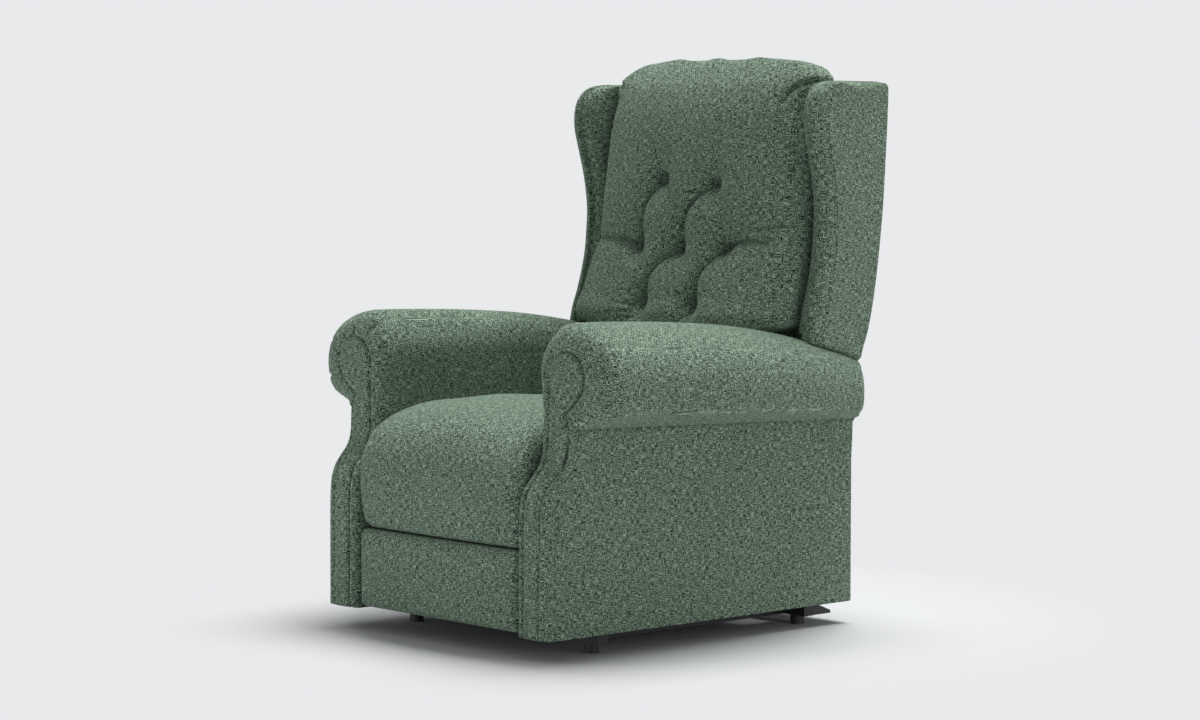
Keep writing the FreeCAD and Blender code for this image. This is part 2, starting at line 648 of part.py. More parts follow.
pair("footrest_pivot_pins",
     stud("first_pivot", SWING + " + soft_clearance", "bearing_plate_offset", first),
     stud("second_pivot", INNER + " - link_gap / 2", "bearing_plate_offset", second))
pair("footrest_swing_links", link(
    "footrest_swing_link", s.swing_length, s.bar_width, [(0, turning)],
    "link_thickness", swing_plane, first[0], first[1], s.swing_start))
node("footrest_torque_tube", rod_x(
    "footrest_torque_tube", "torque_tube / 2", "2 * ( %s )" % SWING, "- ( %s )" % SWING,
    setback("swing_pivot_setback"), "swing_pivot_height"))
pair("swing_link_pins", stud("swing_link_pin", CARRIER + " - link_gap / 2", SWING, first_end))
pair("footrest_inner_links", link(
    "footrest_inner_link", s.swing_length, s.bar_width, [(0, turning)],
    "link_thickness", inner_plane, second[0], second[1], s.swing_start))
pair("inner_link_pins", stud(
    "inner_link_pin", INNER + " + link_thickness", CARRIER + " + link_thickness + link_gap / 2", second_end))
bar_length = s.swing_spread + s.carrier_reach
pair("footrest_carrier_bars", link(
    "footrest_carrier_bar", bar_length, s.bar_width,
    [(0, turning), (s.swing_spread, turning), (bar_length, turning)],
    "link_thickness", carrier_plane, second_end[0], second_end[1], 180 - s.carrier_slope))

board_rear = s.board_setback + s.board_thickness
top, low = s.footrest_top, s.footrest_underside
node("footrest_board", box(
    "footrest_board", "footrest_width - 10", "board_thickness", "footrest_top - footrest_underside - 6",
    "5 - footrest_width / 2", setback("board_setback"), "footrest_underside + 3"))
pair("footrest_hinge_plates", plate(
    "footrest_hinge_plate",
    [(board_rear, panel_pivot[1] - 40), (board_rear, panel_pivot[1] + 10), (panel_pivot[0], panel_pivot[1] + 10),
     ((panel_pivot[0] + 10, panel_pivot[1]), (panel_pivot[0], panel_pivot[1] - 10)),
     (board_rear + 6, panel_pivot[1] - 40), (board_rear, panel_pivot[1] - 40)],
    "plate_thickness", SWING))
pair("footrest_hinge_pins", stud("footrest_hinge_pin", CARRIER + " - link_gap / 2", SWING, panel_pivot))


def rounded_outline(back, half, low, high, radius):
    """A rectangle with quarter-round corners, seen from the front."""
    near = radius * (1 - math.sqrt(0.5))
    corners = [(half, low, -1, 1), (half, high, -1, -1), (-half, high, 1, -1), (-half, low, 1, 1)]
    edges, first_end, last = [], None, None
    for index, (x, height, inward, upward) in enumerate(corners):
        start = at(back, height + upward * radius, x)
        end = at(back, height, x + inward * radius)
        if index % 2 == 0:
            start, end = end, start
        middle = at(back, height + upward * near, x + inward * near)
        if last is not None:
            edges.append(Part.makeLine(last, start))
        edges.append(Part.Arc(start, middle, end).toShape())
        first_end = first_end or start
        last = end
    edges.append(Part.makeLine(last, first_end))
    return Part.Wire(edges)


def footrest_pad_shape():
    """The footrest's pad: full in the middle, its edges drawn in."""
    rear = s.board_setback - s.soft_clearance
    half, low, high = s.footrest_width / 2, s.footrest_underside, s.footrest_top
    stations = [(rear, 0, 10), (10, 1, 10), (4, 8, 12), (0.3, 32, 12)]
    return loft([rounded_outline(back, half - inset, low + inset, high - inset, radius)
                 for back, inset, radius in stations])


solid("footrest_pad", footrest_pad_shape())

# Back: timber frame, webbing, outside panel, wings, tufted cushion and its hinge
lean = math.radians(s.back_lean)
back_foot_setback = s.chair_depth - s.back_foot_inset
stile_outer = plate_face - s.link_gap - s.plate_thickness


def frame_at(height):
    """Setback of the timber frame's rear face at a height."""
    return back_foot_setback + (height - s.back_foot_height) * math.tan(lean)


def leaning_box(name, length, width, height, x, depth, rise):
    """A box in the back's own lean: depth forward of the frame's rear face, rise along the lean."""
    item = doc.addObject("Part::Box", name)
    bind(item, Length=length, Width=width, Height=height)
    back = back_foot_setback + rise * math.sin(lean) - depth * math.cos(lean)
    up = s.back_foot_height + rise * math.cos(lean) + depth * math.sin(lean)
    item.Placement = FreeCAD.Placement(at(back, up, x), FreeCAD.Rotation(Vector(1, 0, 0), -s.back_lean))
    return item


pair("back_stiles", leaning_box("back_stile", "stile_width", "frame_depth", "stile_length",
                                stile_outer - s.stile_width, s.frame_depth, 0))
node("back_top_rail", leaning_box("back_top_rail", "2 * wing_offset - 4", "frame_depth", "top_rail_height",
                                  2 - s.wing_offset, s.frame_depth, s.stile_length))
inner_stile = stile_outer - s.stile_width
node("back_bottom_rail", leaning_box(
    "back_bottom_rail", "2 * ( %s - stile_width )" % STILE_OUTER, "frame_depth", "bottom_rail_height",
    -inner_stile, s.frame_depth, 0))


def wing_inner(back):
    """How far a wing's inner face stands from the centre plane at a setback."""
    flare = math.radians(s.wing_flare)
    ahead = s.chair_depth - s.wing_thickness * math.sin(flare) - back
    return s.wing_offset + s.wing_thickness * (1 - math.cos(flare)) + ahead * math.tan(flare)


support_rise, support_height = 200, 60
support_top = s.back_foot_height + (support_rise + support_height) * math.cos(lean)
support_end = wing_inner(frame_at(support_top)) - s.soft_clearance
pair("wing_supports", leaning_box(
    "wing_support", "%.9g - ( %s )" % (support_end, STILE_OUTER), "frame_depth", "%d" % support_height,
    stile_outer, s.frame_depth, support_rise))
back_straps = []
for index in range(5):
    back_straps.append(leaning_box(
        "back_strap_%d" % index, "2 * ( %s )" % STILE_OUTER, "webbing_thickness", "50",
        -stile_outer, s.frame_depth + s.webbing_thickness, 60 + 105 * index))
node("back_webbing", group("back_webbing", *back_straps))

outside_rear = s.chair_depth
rear_middle = (outside_rear - 18, 820)
tail = (back_foot_setback + 22.7, s.back_foot_height + 58)
skirt_top, skirt_low = s.hinge_height + 50, s.hinge_height - 60
outside_path = [
    (frame_at(s.outside_top), s.outside_top), (outside_rear, s.outside_top), (rear_middle, tail),
    (back_foot_setback + 6, s.back_foot_height - 20), (s.hinge_setback + 67, skirt_top),
    (s.hinge_setback + 57, skirt_low), (s.hinge_setback + 45, skirt_low),
    (s.hinge_setback + 55, skirt_top + 5), (frame_at(s.back_foot_height - 14), s.back_foot_height - 14),
    (frame_at(s.outside_top), s.outside_top)]
outside_blank = plate("outside_blank", outside_path, "2 * ( wing_offset - soft_clearance )",
                      "soft_clearance - wing_offset")
corners = []
for name, x in (("left", STILE_OUTER + " - 2"), ("right", "- wing_offset - 10")):
    corners.append(box("outside_notch_" + name, "wing_offset + 12 - ( %s )" % STILE_OUTER, "300", "400",
                       x, setback("hinge_setback - 50"), "back_foot_height + 100 - 400"))
node("outside_back", cut("outside_back", outside_blank, fuse("outside_notches", *corners)))


def wing_section(x, drawn_in):
    """A wing in side view, with its edges drawn in."""
    top = s.wing_top - drawn_in
    rear = outside_rear - drawn_in

    def spot(back, height):
        return at(back, height, x)

    nose = [(246, 585), (214, 690), (193, 815), (197, 900), (219, 985), (226, 1020),
            (219, top - 48), (206, top - 17)]
    nose = [spot(outside_rear - ahead + drawn_in, height) for ahead, height in nose]
    return wire(nose[0], [
        (nose[1], nose[2]), (nose[3], nose[4]), (nose[5], nose[6]), (nose[7], spot(outside_rear - 165, top - 3)),
        spot(rear - 12, top), (spot(rear - 3, top - 4), spot(rear, top - 14)),
        (spot(rear_middle[0] - drawn_in, rear_middle[1]), spot(tail[0] - drawn_in, tail[1])),
        spot(tail[0] - 60, tail[1]), nose[0]])


def wing_shape():
    """A wing with soft edges, turned outwards and fitted over the arm roll."""
    soft = s.wing_round * 0.7
    stations = [(0, soft), (0.12, soft * 0.25), (0.5, 0), (0.88, soft * 0.25), (1, soft)]
    shape = loft([wing_section(s.wing_offset + s.wing_thickness * share, drawn_in)
                  for share, drawn_in in stations])
    shape.rotate(at(outside_rear, 0, s.wing_offset + s.wing_thickness), Vector(0, 0, 1), s.wing_flare)
    return shape.cut(roll_shape(s.wing_clearance))


wing = wing_shape()
for side in ("left", "right"):
    solid(side + "_wing", placed_side(wing, side))


def back_section(height, ahead, half, rear):
    """Back cushion at one height, its sides a distance ahead of the frame's rear and its front bowed."""
    side = frame_at(height) - ahead
    crown = side - 0.15 * half
    return wire(at(side, height, -half), [
        (at(crown, height, 0), at(side, height, half)),
        at(rear - 12, height, half + 4), at(rear, height, half - 12), at(rear, height, 12 - half),
        at(rear - 12, height, -half - 4), at(side, height, -half)])


def tuft(x, height, deepest):
    """A four-sided hollow whose corner folds run towards the neighbouring tufts."""
    front_plane, half_wide, half_high = deepest - s.tuft_depth, s.tuft_width / 2, s.tuft_height / 2
    rim = [at(front_plane, height + up * half_high, x + across * half_wide)
           for across, up in ((-1, -1), (1, -1), (1, 1), (-1, 1))]
    bottom = at(deepest, height, x)
    faces = [Part.Face(Part.makePolygon(rim + rim[:1]))]
    faces += [Part.Face(Part.makePolygon([start, end, bottom, start])) for start, end in zip(rim, rim[1:] + rim[:1])]
    hollow = Part.makeSolid(Part.makeShell(faces))
    return hollow if hollow.Volume > 0 else hollow.reversed()


def back_cushion_shape():
    """A loft, narrow between the arms and wide between the wings, with seven sewn tufts."""
    top = s.back_height
    between_arms = half_seat - 7
    wide = s.wing_offset - 1
    cover = (s.frame_depth + s.webbing_thickness) / math.cos(lean) + s.soft_clearance
    stations = [(s.cushion_side_height + 1, 152, between_arms - 24), (500, 198, between_arms - 5),
                (630, 221, between_arms), (720, 207, wide - 6), (1020, 214, wide), (top - 36, 178, wide - 24)]
    sections = [back_section(height, ahead, half, frame_at(height) - cover) for height, ahead, half in stations]
    shape = loft(sections + [back_section(top, 118, wide - 72, frame_at(top) - 62)])
    tufts = [(x, 906, 194) for x in (-87, 87)] + [(x, 765, 198) for x in (-139, 0, 139)]
    tufts += [(x, 632, 216) for x in (-85, 85)]
    return shape.cut([tuft(x, height, frame_at(height) - ahead) for x, height, ahead in tufts])


solid("back_cushion", back_cushion_shape())

hinge = (s.hinge_setback, s.hinge_height)
shoulder = s.back_foot_height + 5
crown_height = s.back_foot_height + 140
pair("back_hinge_plates", plate(
    "back_hinge_plate",
    [(hinge[0] + 20, hinge[1]), (frame_at(shoulder) - 3, shoulder), (frame_at(crown_height) - 6, crown_height),
     (frame_at(crown_height) - 30, crown_height), (frame_at(shoulder) - 33, shoulder), (hinge[0] - 20, hinge[1]),
     ((hinge[0], hinge[1] - 20), (hinge[0] + 20, hinge[1]))],
    "plate_thickness", STILE_OUTER, [hinge + (turning_hole / 2,)]))
slot_radius = s.actuator_pin / 2 + s.eye_clearance
slot_far = s.lever_length + 1 - s.eye_clearance
levers = []
for name, x in (("inner", s.recline_motor_offset - s.actuator_pin - s.plate_thickness),
                ("outer", s.recline_motor_offset + s.actuator_pin)):
    levers.append(link(
        "recline_lever_" + name, s.lever_length, 34, [], "plate_thickness",
        x, hinge[0], hinge[1], s.lever_angle - 90, (slot_far - s.lever_slot, slot_far, slot_radius)))
back_tube = rod_x("back_tube", "lift_pin * 1.3", "2 * ( %s )" % STILE_OUTER, "- ( %s )" % STILE_OUTER,
                  setback("hinge_setback"), "hinge_height")
node("back_lever_tube", group("back_lever_tube", back_tube, *butted(back_tube, *levers)))


# Actuators: gear case and tube, motor, and a rod with an eye
EYE_WIDTH = "2 * actuator_pin - 1"
gear_end = s.gear_case_start + s.gear_case_length


def lengthways(name, radius, start, end):
    """A cylinder along an actuator, between two distances from its tail pivot."""
    item = doc.addObject("Part::Cylinder", name)
    item.Placement = FreeCAD.Placement(Vector(start, 0, 0), FreeCAD.Rotation(Vector(0, 1, 0), 90))
    item.Height = end - start
    bind(item, Radius=radius)
    return item


def crossways(name, radius, width, start):
    """A cylinder across an actuator, at a distance from its tail pivot."""
    item = doc.addObject("Part::Cylinder", name)
    item.Placement = FreeCAD.Placement(Vector(start, 0, 0), FreeCAD.Rotation())
    bind(item, Radius=radius, Height=width, Z="- ( %s ) / 2" % width)
    return item


def block(name, length, depth, width, start):
    item = doc.addObject("Part::Box", name)
    bind(item, Length=length, Width=depth, Height=width, X=start,
         Y="- ( %s ) / 2" % depth, Z="- ( %s ) / 2" % width)
    return item


def actuator_parts(name, length, drawn_out, motor_side):
    """Housing, motor and rod, laid along +X from the tail pivot."""
    mouth = length - drawn_out - 2.1 * s.actuator_pin
    solid_housing = fuse(
        name + "_solid", block(name + "_gear_case", "gear_case_length", "gear_case_depth", "gear_case_width",
                               "gear_case_start"),
        block(name + "_tail", "gear_case_start * 2", "2 * actuator_pin", EYE_WIDTH, "0"),
        crossways(name + "_tail_round", "actuator_pin", EYE_WIDTH, 0),
        lengthways(name + "_sleeve", "actuator_tube / 2", gear_end, mouth))
    holes = fuse(name + "_holes",
                 crossways(name + "_tail_hole", "actuator_pin / 2 + running_clearance", "gear_case_width", 0),
                 lengthways(name + "_rod_bore", "actuator_rod / 2 + running_clearance", gear_end + 5, mouth + 5))
    housing = cut(name + "_housing", solid_housing, holes)
    motor = crossways(name + "_motor", "motor_diameter / 2", "motor_length", (s.gear_case_start + gear_end) / 2)
    reach_out = "( gear_case_width / 2 + motor_length * %d )" % (motor_side < 0)
    bind(motor, Z=("" if motor_side > 0 else "- ") + reach_out)
    shaft = lengthways(name + "_shaft", "actuator_rod / 2", gear_end + 8 + drawn_out, length - s.actuator_pin)
    eye = crossways(name + "_eye", "actuator_pin * 1.3", EYE_WIDTH, length)
    return housing, motor, fuse(name + "_rod_end", shaft, eye)


def laid(label, item, middle, back, height, angle):
    """Place a piece that was made along +X at a pivot, in the side view."""
    turn = FreeCAD.Rotation(Vector(1, 0, 0), angle) * FreeCAD.Rotation(Vector(1, 1, 1), 120)
    carrier = group(label, item)
    carrier.Placement = FreeCAD.Placement(Vector(middle, front + back, height), turn)
    return node(label, carrier)


lift_length, lift_angle = reach(s.lift_tail_setback, s.lift_tail_height, s.lift_eye_setback, s.lift_eye_height)
lift_housing, lift_motor, lift_end = actuator_parts("lift", lift_length, 0, -1)
lift_rod = cut("lift_rod", lift_end, crossways("lift_eye_hole", "actuator_pin / 2 + eye_clearance",
                                               "gear_case_width", lift_length))
for label, item in (("lift_actuator_housing", lift_housing), ("lift_actuator_motor", lift_motor),
                    ("lift_actuator_rod", lift_rod)):
    laid(label, item, s.lift_motor_offset, s.lift_tail_setback, s.lift_tail_height, lift_angle)

recline_length = recline_eye - s.recline_tail_setback
recline_housing, recline_motor, recline_end = actuator_parts("recline", recline_length, 2 * lever_back, 1)
recline_pin = crossways("recline_eye_pin", "actuator_pin / 2", "2 * ( actuator_pin + plate_thickness )",
                        recline_length)
recline_rod = fuse("recline_rod", recline_end, recline_pin)
for label, item in (("recline_actuator_housing", recline_housing), ("recline_actuator_motor", recline_motor),
                    ("recline_actuator_rod", recline_rod)):
    laid(label, item, s.recline_motor_offset, s.recline_tail_setback, recline_height, 0)

node("seat_actuator_pins", group(
    "seat_actuator_pins",
    pin("lift_eye_pin", "actuator_pin", "lift_motor_offset - actuator_pin", "lift_motor_offset + actuator_pin",
        "lift_eye_setback", "lift_eye_height"),
    pin("recline_tail_pin", "actuator_pin", "recline_motor_offset - actuator_pin",
        "recline_motor_offset + actuator_pin", "recline_tail_setback",
        "hinge_height - lever_length * cos(lever_angle * 1 deg)")))

# Check every object, then write one file for each node
doc.recompute()
for item in doc.Objects:
    if "Invalid" in item.State or "Error" in item.State:
        raise RuntimeError("%s failed: %s" % (item.Name, item.State))
whole = FreeCAD.BoundBox()
facets = 0
os.makedirs("parts", exist_ok=True)
for item in nodes:
    shape = item.Shape
    if shape.isNull() or not shape.isValid() or shape.Volume <= 0:
        raise RuntimeError("%s has no valid solid" % item.Label)
for item in nodes:
    shape = item.Shape
    whole.add(shape.BoundBox)
    facets += len(shape.tessellate(0.5)[1])
    shape.exportStep("parts/%s.step" % item.Label)
    print("%-26s solids %d volume %.0f" % (item.Label, len(shape.Solids), shape.Volume))
print("nodes %d, about %d facets, box %s" % (len(nodes), facets, whole))
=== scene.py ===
"""Lift recliner: scroll arms, wings and a tufted back in green chenille, on a steel lift base."""
import json
import math

import bmesh
import bpy
import numpy as np
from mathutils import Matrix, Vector


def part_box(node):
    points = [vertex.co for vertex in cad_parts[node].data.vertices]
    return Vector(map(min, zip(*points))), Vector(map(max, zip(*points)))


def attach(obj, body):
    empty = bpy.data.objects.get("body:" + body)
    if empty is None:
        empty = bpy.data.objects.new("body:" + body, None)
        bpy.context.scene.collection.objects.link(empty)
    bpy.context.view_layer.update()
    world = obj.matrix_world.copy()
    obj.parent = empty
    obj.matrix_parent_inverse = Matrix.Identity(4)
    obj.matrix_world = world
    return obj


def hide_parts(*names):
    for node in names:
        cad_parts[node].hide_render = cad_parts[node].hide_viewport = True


bl_info = {
    "name": "Lift recliner",
    "version": (1, 0, 0),
    "blender": (4, 5, 0),
    "location": "View3D > Sidebar > Recliner",
    "description": "Upholstery, steel finishes and a studio for a lift recliner",
    "category": "Object",
}

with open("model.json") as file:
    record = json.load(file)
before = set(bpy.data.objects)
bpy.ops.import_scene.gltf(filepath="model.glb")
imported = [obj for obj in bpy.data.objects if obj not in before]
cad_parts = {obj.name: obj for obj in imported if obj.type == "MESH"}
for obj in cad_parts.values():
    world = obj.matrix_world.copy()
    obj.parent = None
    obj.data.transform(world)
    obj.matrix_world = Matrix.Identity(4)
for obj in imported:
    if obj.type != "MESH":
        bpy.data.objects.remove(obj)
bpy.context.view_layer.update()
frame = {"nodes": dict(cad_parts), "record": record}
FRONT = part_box("left_side_panel")[0].y
ARM_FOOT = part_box("left_side_panel")[0].z
PANEL_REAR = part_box("left_side_panel")[1].y - FRONT


# Curves and meshes
def through(*pairs):
    """A smooth line through (place, value) pairs that never overshoots them."""
    place, value = np.array(pairs, float).T
    step = np.diff(place)
    slope = np.diff(value) / step
    lean = np.zeros(len(place))
    lean[0], lean[-1] = slope[0], slope[-1]
    same_way = slope[:-1] * slope[1:] > 0
    total = np.where(same_way, slope[:-1] + slope[1:], 1)
    lean[1:-1] = np.where(same_way, 2 * slope[:-1] * slope[1:] / total, 0)

    def line(at):
        at = np.clip(at, place[0], place[-1])
        k = np.clip(np.searchsorted(place, at, side="right") - 1, 0, len(step) - 1)
        t = (at - place[k]) / step[k]
        rise = t * t * (3 - 2 * t)
        swing = step[k] * (lean[k] * t * (1 - t) ** 2 - lean[k + 1] * t * t * (1 - t))
        return value[k] * (1 - rise) + value[k + 1] * rise + swing

    return line


def evenly(points, count):
    """Points the same distance apart along a broken line."""
    points = np.array(points, float)
    run = np.r_[0, np.cumsum(np.linalg.norm(np.diff(points, axis=0), axis=1))]
    spots = np.linspace(0, run[-1], count)
    return np.stack([np.interp(spots, run, points[:, axis]) for axis in range(points.shape[1])], 1)


def rounded(points, count):
    """A soft curve through points, then evenly spaced."""
    points = np.array(points, float)
    padded = np.vstack([2 * points[0] - points[1], points, 2 * points[-1] - points[-2]])
    fine = []
    for before, start, end, after in zip(padded, padded[1:], padded[2:], padded[3:]):
        for t in np.linspace(0, 1, 24, endpoint=False):
            fine.append(0.5 * (2 * start + (end - before) * t
                               + (2 * before - 5 * start + 4 * end - after) * t ** 2
                               + (3 * start - before - 3 * end + after) * t ** 3))
    return evenly(fine + [points[-1]], count)


def bunched(fine, coarse, width, total):
    """Places from 0 to total, close together for a width at each end."""
    middle = np.linspace(width, total - width, coarse)[1:-1]
    return np.r_[np.linspace(0, width, fine), middle, np.linspace(total - width, total, fine)]


def edge_round(distance, radius):
    """Rises from 0 at an edge to 1 at a radius from it, as a quarter circle."""
    near = np.clip(1 - distance / radius, 0, 1)
    return np.sqrt(np.clip(1 - near * near, 0, 1))


def groove(distance, width):
    """1 on a sewn line, falling to 0 within about a width."""
    return np.exp(-(np.abs(distance) / width) ** 1.4)


def rising(distance, length):
    """Rises in a straight line from 0 to 1 over a length."""
    return np.clip(distance / length, 0, 1)


def plane(first, second):
    """Points in a plane, from two rows of values or from a value and a row."""
    return np.stack(np.broadcast_arrays(first, second), 1)


def bay(*axes):
    """Values or arrays stacked as points; the second is a setback behind the arms' front."""
    x, back, height = np.broadcast_arrays(*axes)
    return np.stack([x, back + FRONT, height], -1)


def quads(rows, columns, offset=0, closed=False):
    """Four-sided faces over a grid of points, whose rows may close on themselves."""
    faces = []
    for row in range(rows - 1):
        for column in range(columns if closed else columns - 1):
            after = (column + 1) % columns
            a, b = offset + row * columns, offset + (row + 1) * columns
            faces.append((a + column, a + after, b + after, b + column))
    return faces


def piece(name, points, faces, body, fill, *replaced):
    """A padded mesh object with outward faces, riding on a CAD body."""
    mesh = bpy.data.meshes.new(name)
    mesh.from_pydata([tuple(point) for point in points], [], faces)
    work = bmesh.new()
    work.from_mesh(mesh)
    bmesh.ops.remove_doubles(work, verts=work.verts, dist=2e-5)
    bmesh.ops.dissolve_degenerate(work, edges=work.edges, dist=1e-6)
    bmesh.ops.recalc_face_normals(work, faces=work.faces)
    work.to_mesh(mesh)
    work.free()
    mesh.validate()
    mesh.polygons.foreach_set("use_smooth", [True] * len(mesh.polygons))
    made = bpy.data.objects.new(name, mesh)
    bpy.context.scene.collection.objects.link(made)
    made.data.materials.append(FINISHES["upholstery"])
    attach(made, body)
    if replaced:
        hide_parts(*replaced)


def skin(name, rings, *rest):
    """A closed form over rings of points, with its first and last ring filled."""
    rows, columns = rings.shape[:2]
    last = (rows - 1) * columns
    faces = quads(rows, columns, closed=True)
    faces += [tuple(range(columns)), tuple(range(last + columns - 1, last - 1, -1))]
    piece(name, rings.reshape(-1, 3), faces, *rest)


def two_faced(name, near, far, *rest):
    """A pad of two grids of points that meet along their edges."""
    rows, columns = near.shape[:2]
    points = np.vstack([near.reshape(-1, 3), far.reshape(-1, 3)])
    offset = rows * columns
    faces = quads(rows, columns) + quads(rows, columns, offset)
    rim = list(range(columns))
    rim += [row * columns + columns - 1 for row in range(1, rows)]
    rim += [(rows - 1) * columns + column for column in range(columns - 2, -1, -1)]
    rim += [row * columns for row in range(rows - 2, 0, -1)]
    faces += [(a, b, b + offset, a + offset) for a, b in zip(rim, rim[1:] + rim[:1])]
    piece(name, points, faces, *rest)


# Shader maths
class Value:
    """An output socket that adds Math nodes when it is used in an expression."""

    def __init__(self, finish, socket):
        self.finish = finish
        self.socket = socket

    def maths(self, operation, *items):
        return self.finish.node("ShaderNodeMath", {"operation": operation}, dict(enumerate(items)))

    def __add__(self, other):
        return self.maths("ADD", self, other)

    def __sub__(self, other):
        return self.maths("SUBTRACT", self, other)

    def __mul__(self, other):
        return self.maths("MULTIPLY", self, other)

    def __gt__(self, other):
        return self.maths("GREATER_THAN", self, other)

    def __abs__(self):
        return self.maths("ABSOLUTE", self)

    def __pow__(self, other):
        return self.maths("POWER", self, other)

    def largest(self, other):
        return self.maths("MAXIMUM", self, other)

    def sine(self):
        return self.maths("SINE", self)


class Finish:
    """A node-based material around one Principled shader."""

    def __init__(self, name, **constants):
        self.material = bpy.data.materials.new(name)
        self.material.use_nodes = True
        self.tree = self.material.node_tree
        self.shader = next(node for node in self.tree.nodes if node.type == "BSDF_PRINCIPLED")
        for key, number in constants.items():
            self.shader.inputs[key.replace("_", " ").title()].default_value = number

    def node(self, kind, settings=None, inputs=None, output=0):
        made = self.tree.nodes.new(kind)
        for key, setting in (settings or {}).items():
            setattr(made, key, setting)
        for key, item in (inputs or {}).items():
            if isinstance(item, Value):
                self.tree.links.new(item.socket, made.inputs[key])
            else:
                made.inputs[key].default_value = item
        return Value(self, made.outputs[output])

    def feed(self, socket, item):
        self.tree.links.new(item.socket, self.shader.inputs[socket])

    def place(self, kind="Object"):
        return self.node("ShaderNodeTexCoord", output=kind)

    def axes(self, kind="Object"):
        """X, Y and Z of the object coordinates, or of the surface normal."""
        place = self.place(kind)
        return [self.node("ShaderNodeSeparateXYZ", {}, {0: place}, output=axis) for axis in "XYZ"]

    def point(self, x, y, z=0.0):
        return self.node("ShaderNodeCombineXYZ", {}, {0: x, 1: y, 2: z})

    def noise(self, place, scale, detail, roughness=0.5):
        return self.node("ShaderNodeTexNoise", {}, {
            "Vector": place, "Scale": scale, "Detail": detail, "Roughness": roughness})

    def spread(self, item, low, high, start=0.0, end=1.0):
        """Map a value's range onto another, clamped."""
        return self.node("ShaderNodeMapRange", {"clamp": True}, {
            "Value": item, "From Min": low, "From Max": high, "To Min": start, "To Max": end})

    def ramp(self, item, *stops):
        """Colours at places from 0 to 1."""
        made = self.node("ShaderNodeValToRGB", {}, {0: item})
        band = made.socket.node.color_ramp
        while len(band.elements) < len(stops):
            band.elements.new(0.5)
        for element, (place, colour) in zip(band.elements, stops):
            element.position = place
            element.color = tuple(colour) + (1.0,)
        return made

    def mix(self, share, first, second):
        """Two colours mixed by a share."""
        first, second = [item if isinstance(item, Value) else (*item, 1.0) for item in (first, second)]
        return self.node("ShaderNodeMix", {"data_type": "RGBA"}, {0: share, 6: first, 7: second}, output=2)

    def relief(self, height, distance, strength):
        """Bump from a height, as the shader's normal."""
        self.feed("Normal", self.node("ShaderNodeBump", {}, {
            "Strength": strength, "Distance": distance, "Height": height}))


def srgb(red, green, blue):
    """A colour as it looks on screen, from 0 to 255, as linear light."""
    shares = [channel / 255 for channel in (red, green, blue)]
    return tuple(share / 12.92 if share <= 0.04045 else ((share + 0.055) / 1.055) ** 2.4 for share in shares)


# Finishes
FINISHES = {}


def chenille(sizes):
    """Tweedy green chenille: a plain weave of thick uneven yarns, with painted shade in the gaps between
    them, painted highlight on their tips, and pale flecks.
    """
    cloth = Finish("chenille", roughness=0.94, sheen_weight=0.35, sheen_roughness=0.45)
    cloth.shader.inputs["Sheen Tint"].default_value = srgb(170, 190, 172) + (1.0,)
    cloth.shader.inputs["Specular IOR Level"].default_value = 0.2
    x, y, z = cloth.axes()
    nx, ny, nz = [abs(axis) for axis in cloth.axes("Normal")]
    drift = cloth.noise(cloth.point(x, y, z), 14.0, 1.0) * 0.24 - 0.12
    facing_x = (nx + drift > ny) * (nx + drift > nz)
    facing_z = (nz + drift > ny) * (nz + drift > nx)
    across = x + facing_x * (y - x)
    along = z + facing_z * (y - z)
    bend = (cloth.noise(cloth.point(across, along), 70.0, 1.0) - 0.5) * 0.0022
    fine, long = 1 / sizes.yarn, 1 / (sizes.yarn * 6.5)
    weft = cloth.noise(cloth.point((across + bend) * long, (along + bend) * fine, 3.0), 1.0, 1.0)
    warp = cloth.noise(cloth.point((across - bend) * fine, (along - bend) * long, 9.0), 1.0, 1.0)
    grain = cloth.noise(cloth.point(across, along, 1.0), 2.2 / sizes.yarn, 1.0)
    crossing = 0.0
    for pitch, share in ((sizes.yarn, 0.045), (sizes.yarn * 2.1, 0.05)):
        turn = math.pi / pitch
        crossing = ((across + bend) * turn).sine() * ((along + bend) * turn).sine() * share + crossing
    pick = cloth.spread(cloth.noise(cloth.point(across, along, 6.0), 120.0, 1.0), 0.36, 0.60)
    yarns = warp + (weft - warp) * pick + crossing
    height = cloth.spread(yarns + (grain - 0.5) * 0.20, 0.37, 0.63)
    broad = cloth.noise(cloth.point(x, y, z), 5.0, 3.0) - 0.5
    shade_and_tone = height + broad * 0.10
    # Painted shade and highlight: the yarns' height picks the colour, darkest in the gaps between them,
    # shaded on their sides and palest on their tips, with a little random tone added
    yarn_shade_and_highlight = cloth.ramp(shade_and_tone, (0.0, sizes.gap_shade_and_slub_colour), (0.30, sizes.shade_colour),
                       (0.62, sizes.yarn_colour), (1.0, sizes.tip_highlight_colour))
    flecks = cloth.spread(cloth.noise(cloth.point(across * 0.45, along * 1.5, 5.0), 480.0, 1.0), 0.62, 0.72)
    slubs = cloth.spread(cloth.noise(cloth.point(across * 1.3, along * 0.5, 7.0), 420.0, 1.0), 0.64, 0.72)
    flecked = cloth.mix(flecks * 0.35, yarn_shade_and_highlight, sizes.fleck_colour)
    # Dark slubs at random, in the same colour as the painted shade in the gaps
    cloth.feed("Base Color", cloth.mix(slubs * 0.5, flecked, sizes.gap_shade_and_slub_colour))
    cloth.relief(height + flecks * 0.3, 0.0011, 0.85)
    return cloth.material


def painted_steel():
    """Black powder coat, slightly textured, rubbed paler in patches at random."""
    coat = Finish("black_powder_coat")
    place = coat.place()
    grain = coat.noise(place, 900.0, 2.0)
    worn = coat.spread(coat.noise(place, 14.0, 5.0, 0.65), 0.52, 0.72)
    coat.feed("Base Color", coat.mix(worn * 0.5, srgb(34, 34, 36), srgb(54, 54, 55)))
    coat.feed("Roughness", coat.spread(coat.noise(place, 40.0, 4.0), 0.3, 0.7, 0.38, 0.56))
    coat.relief(grain, 0.0002, 0.4)
    return coat.material


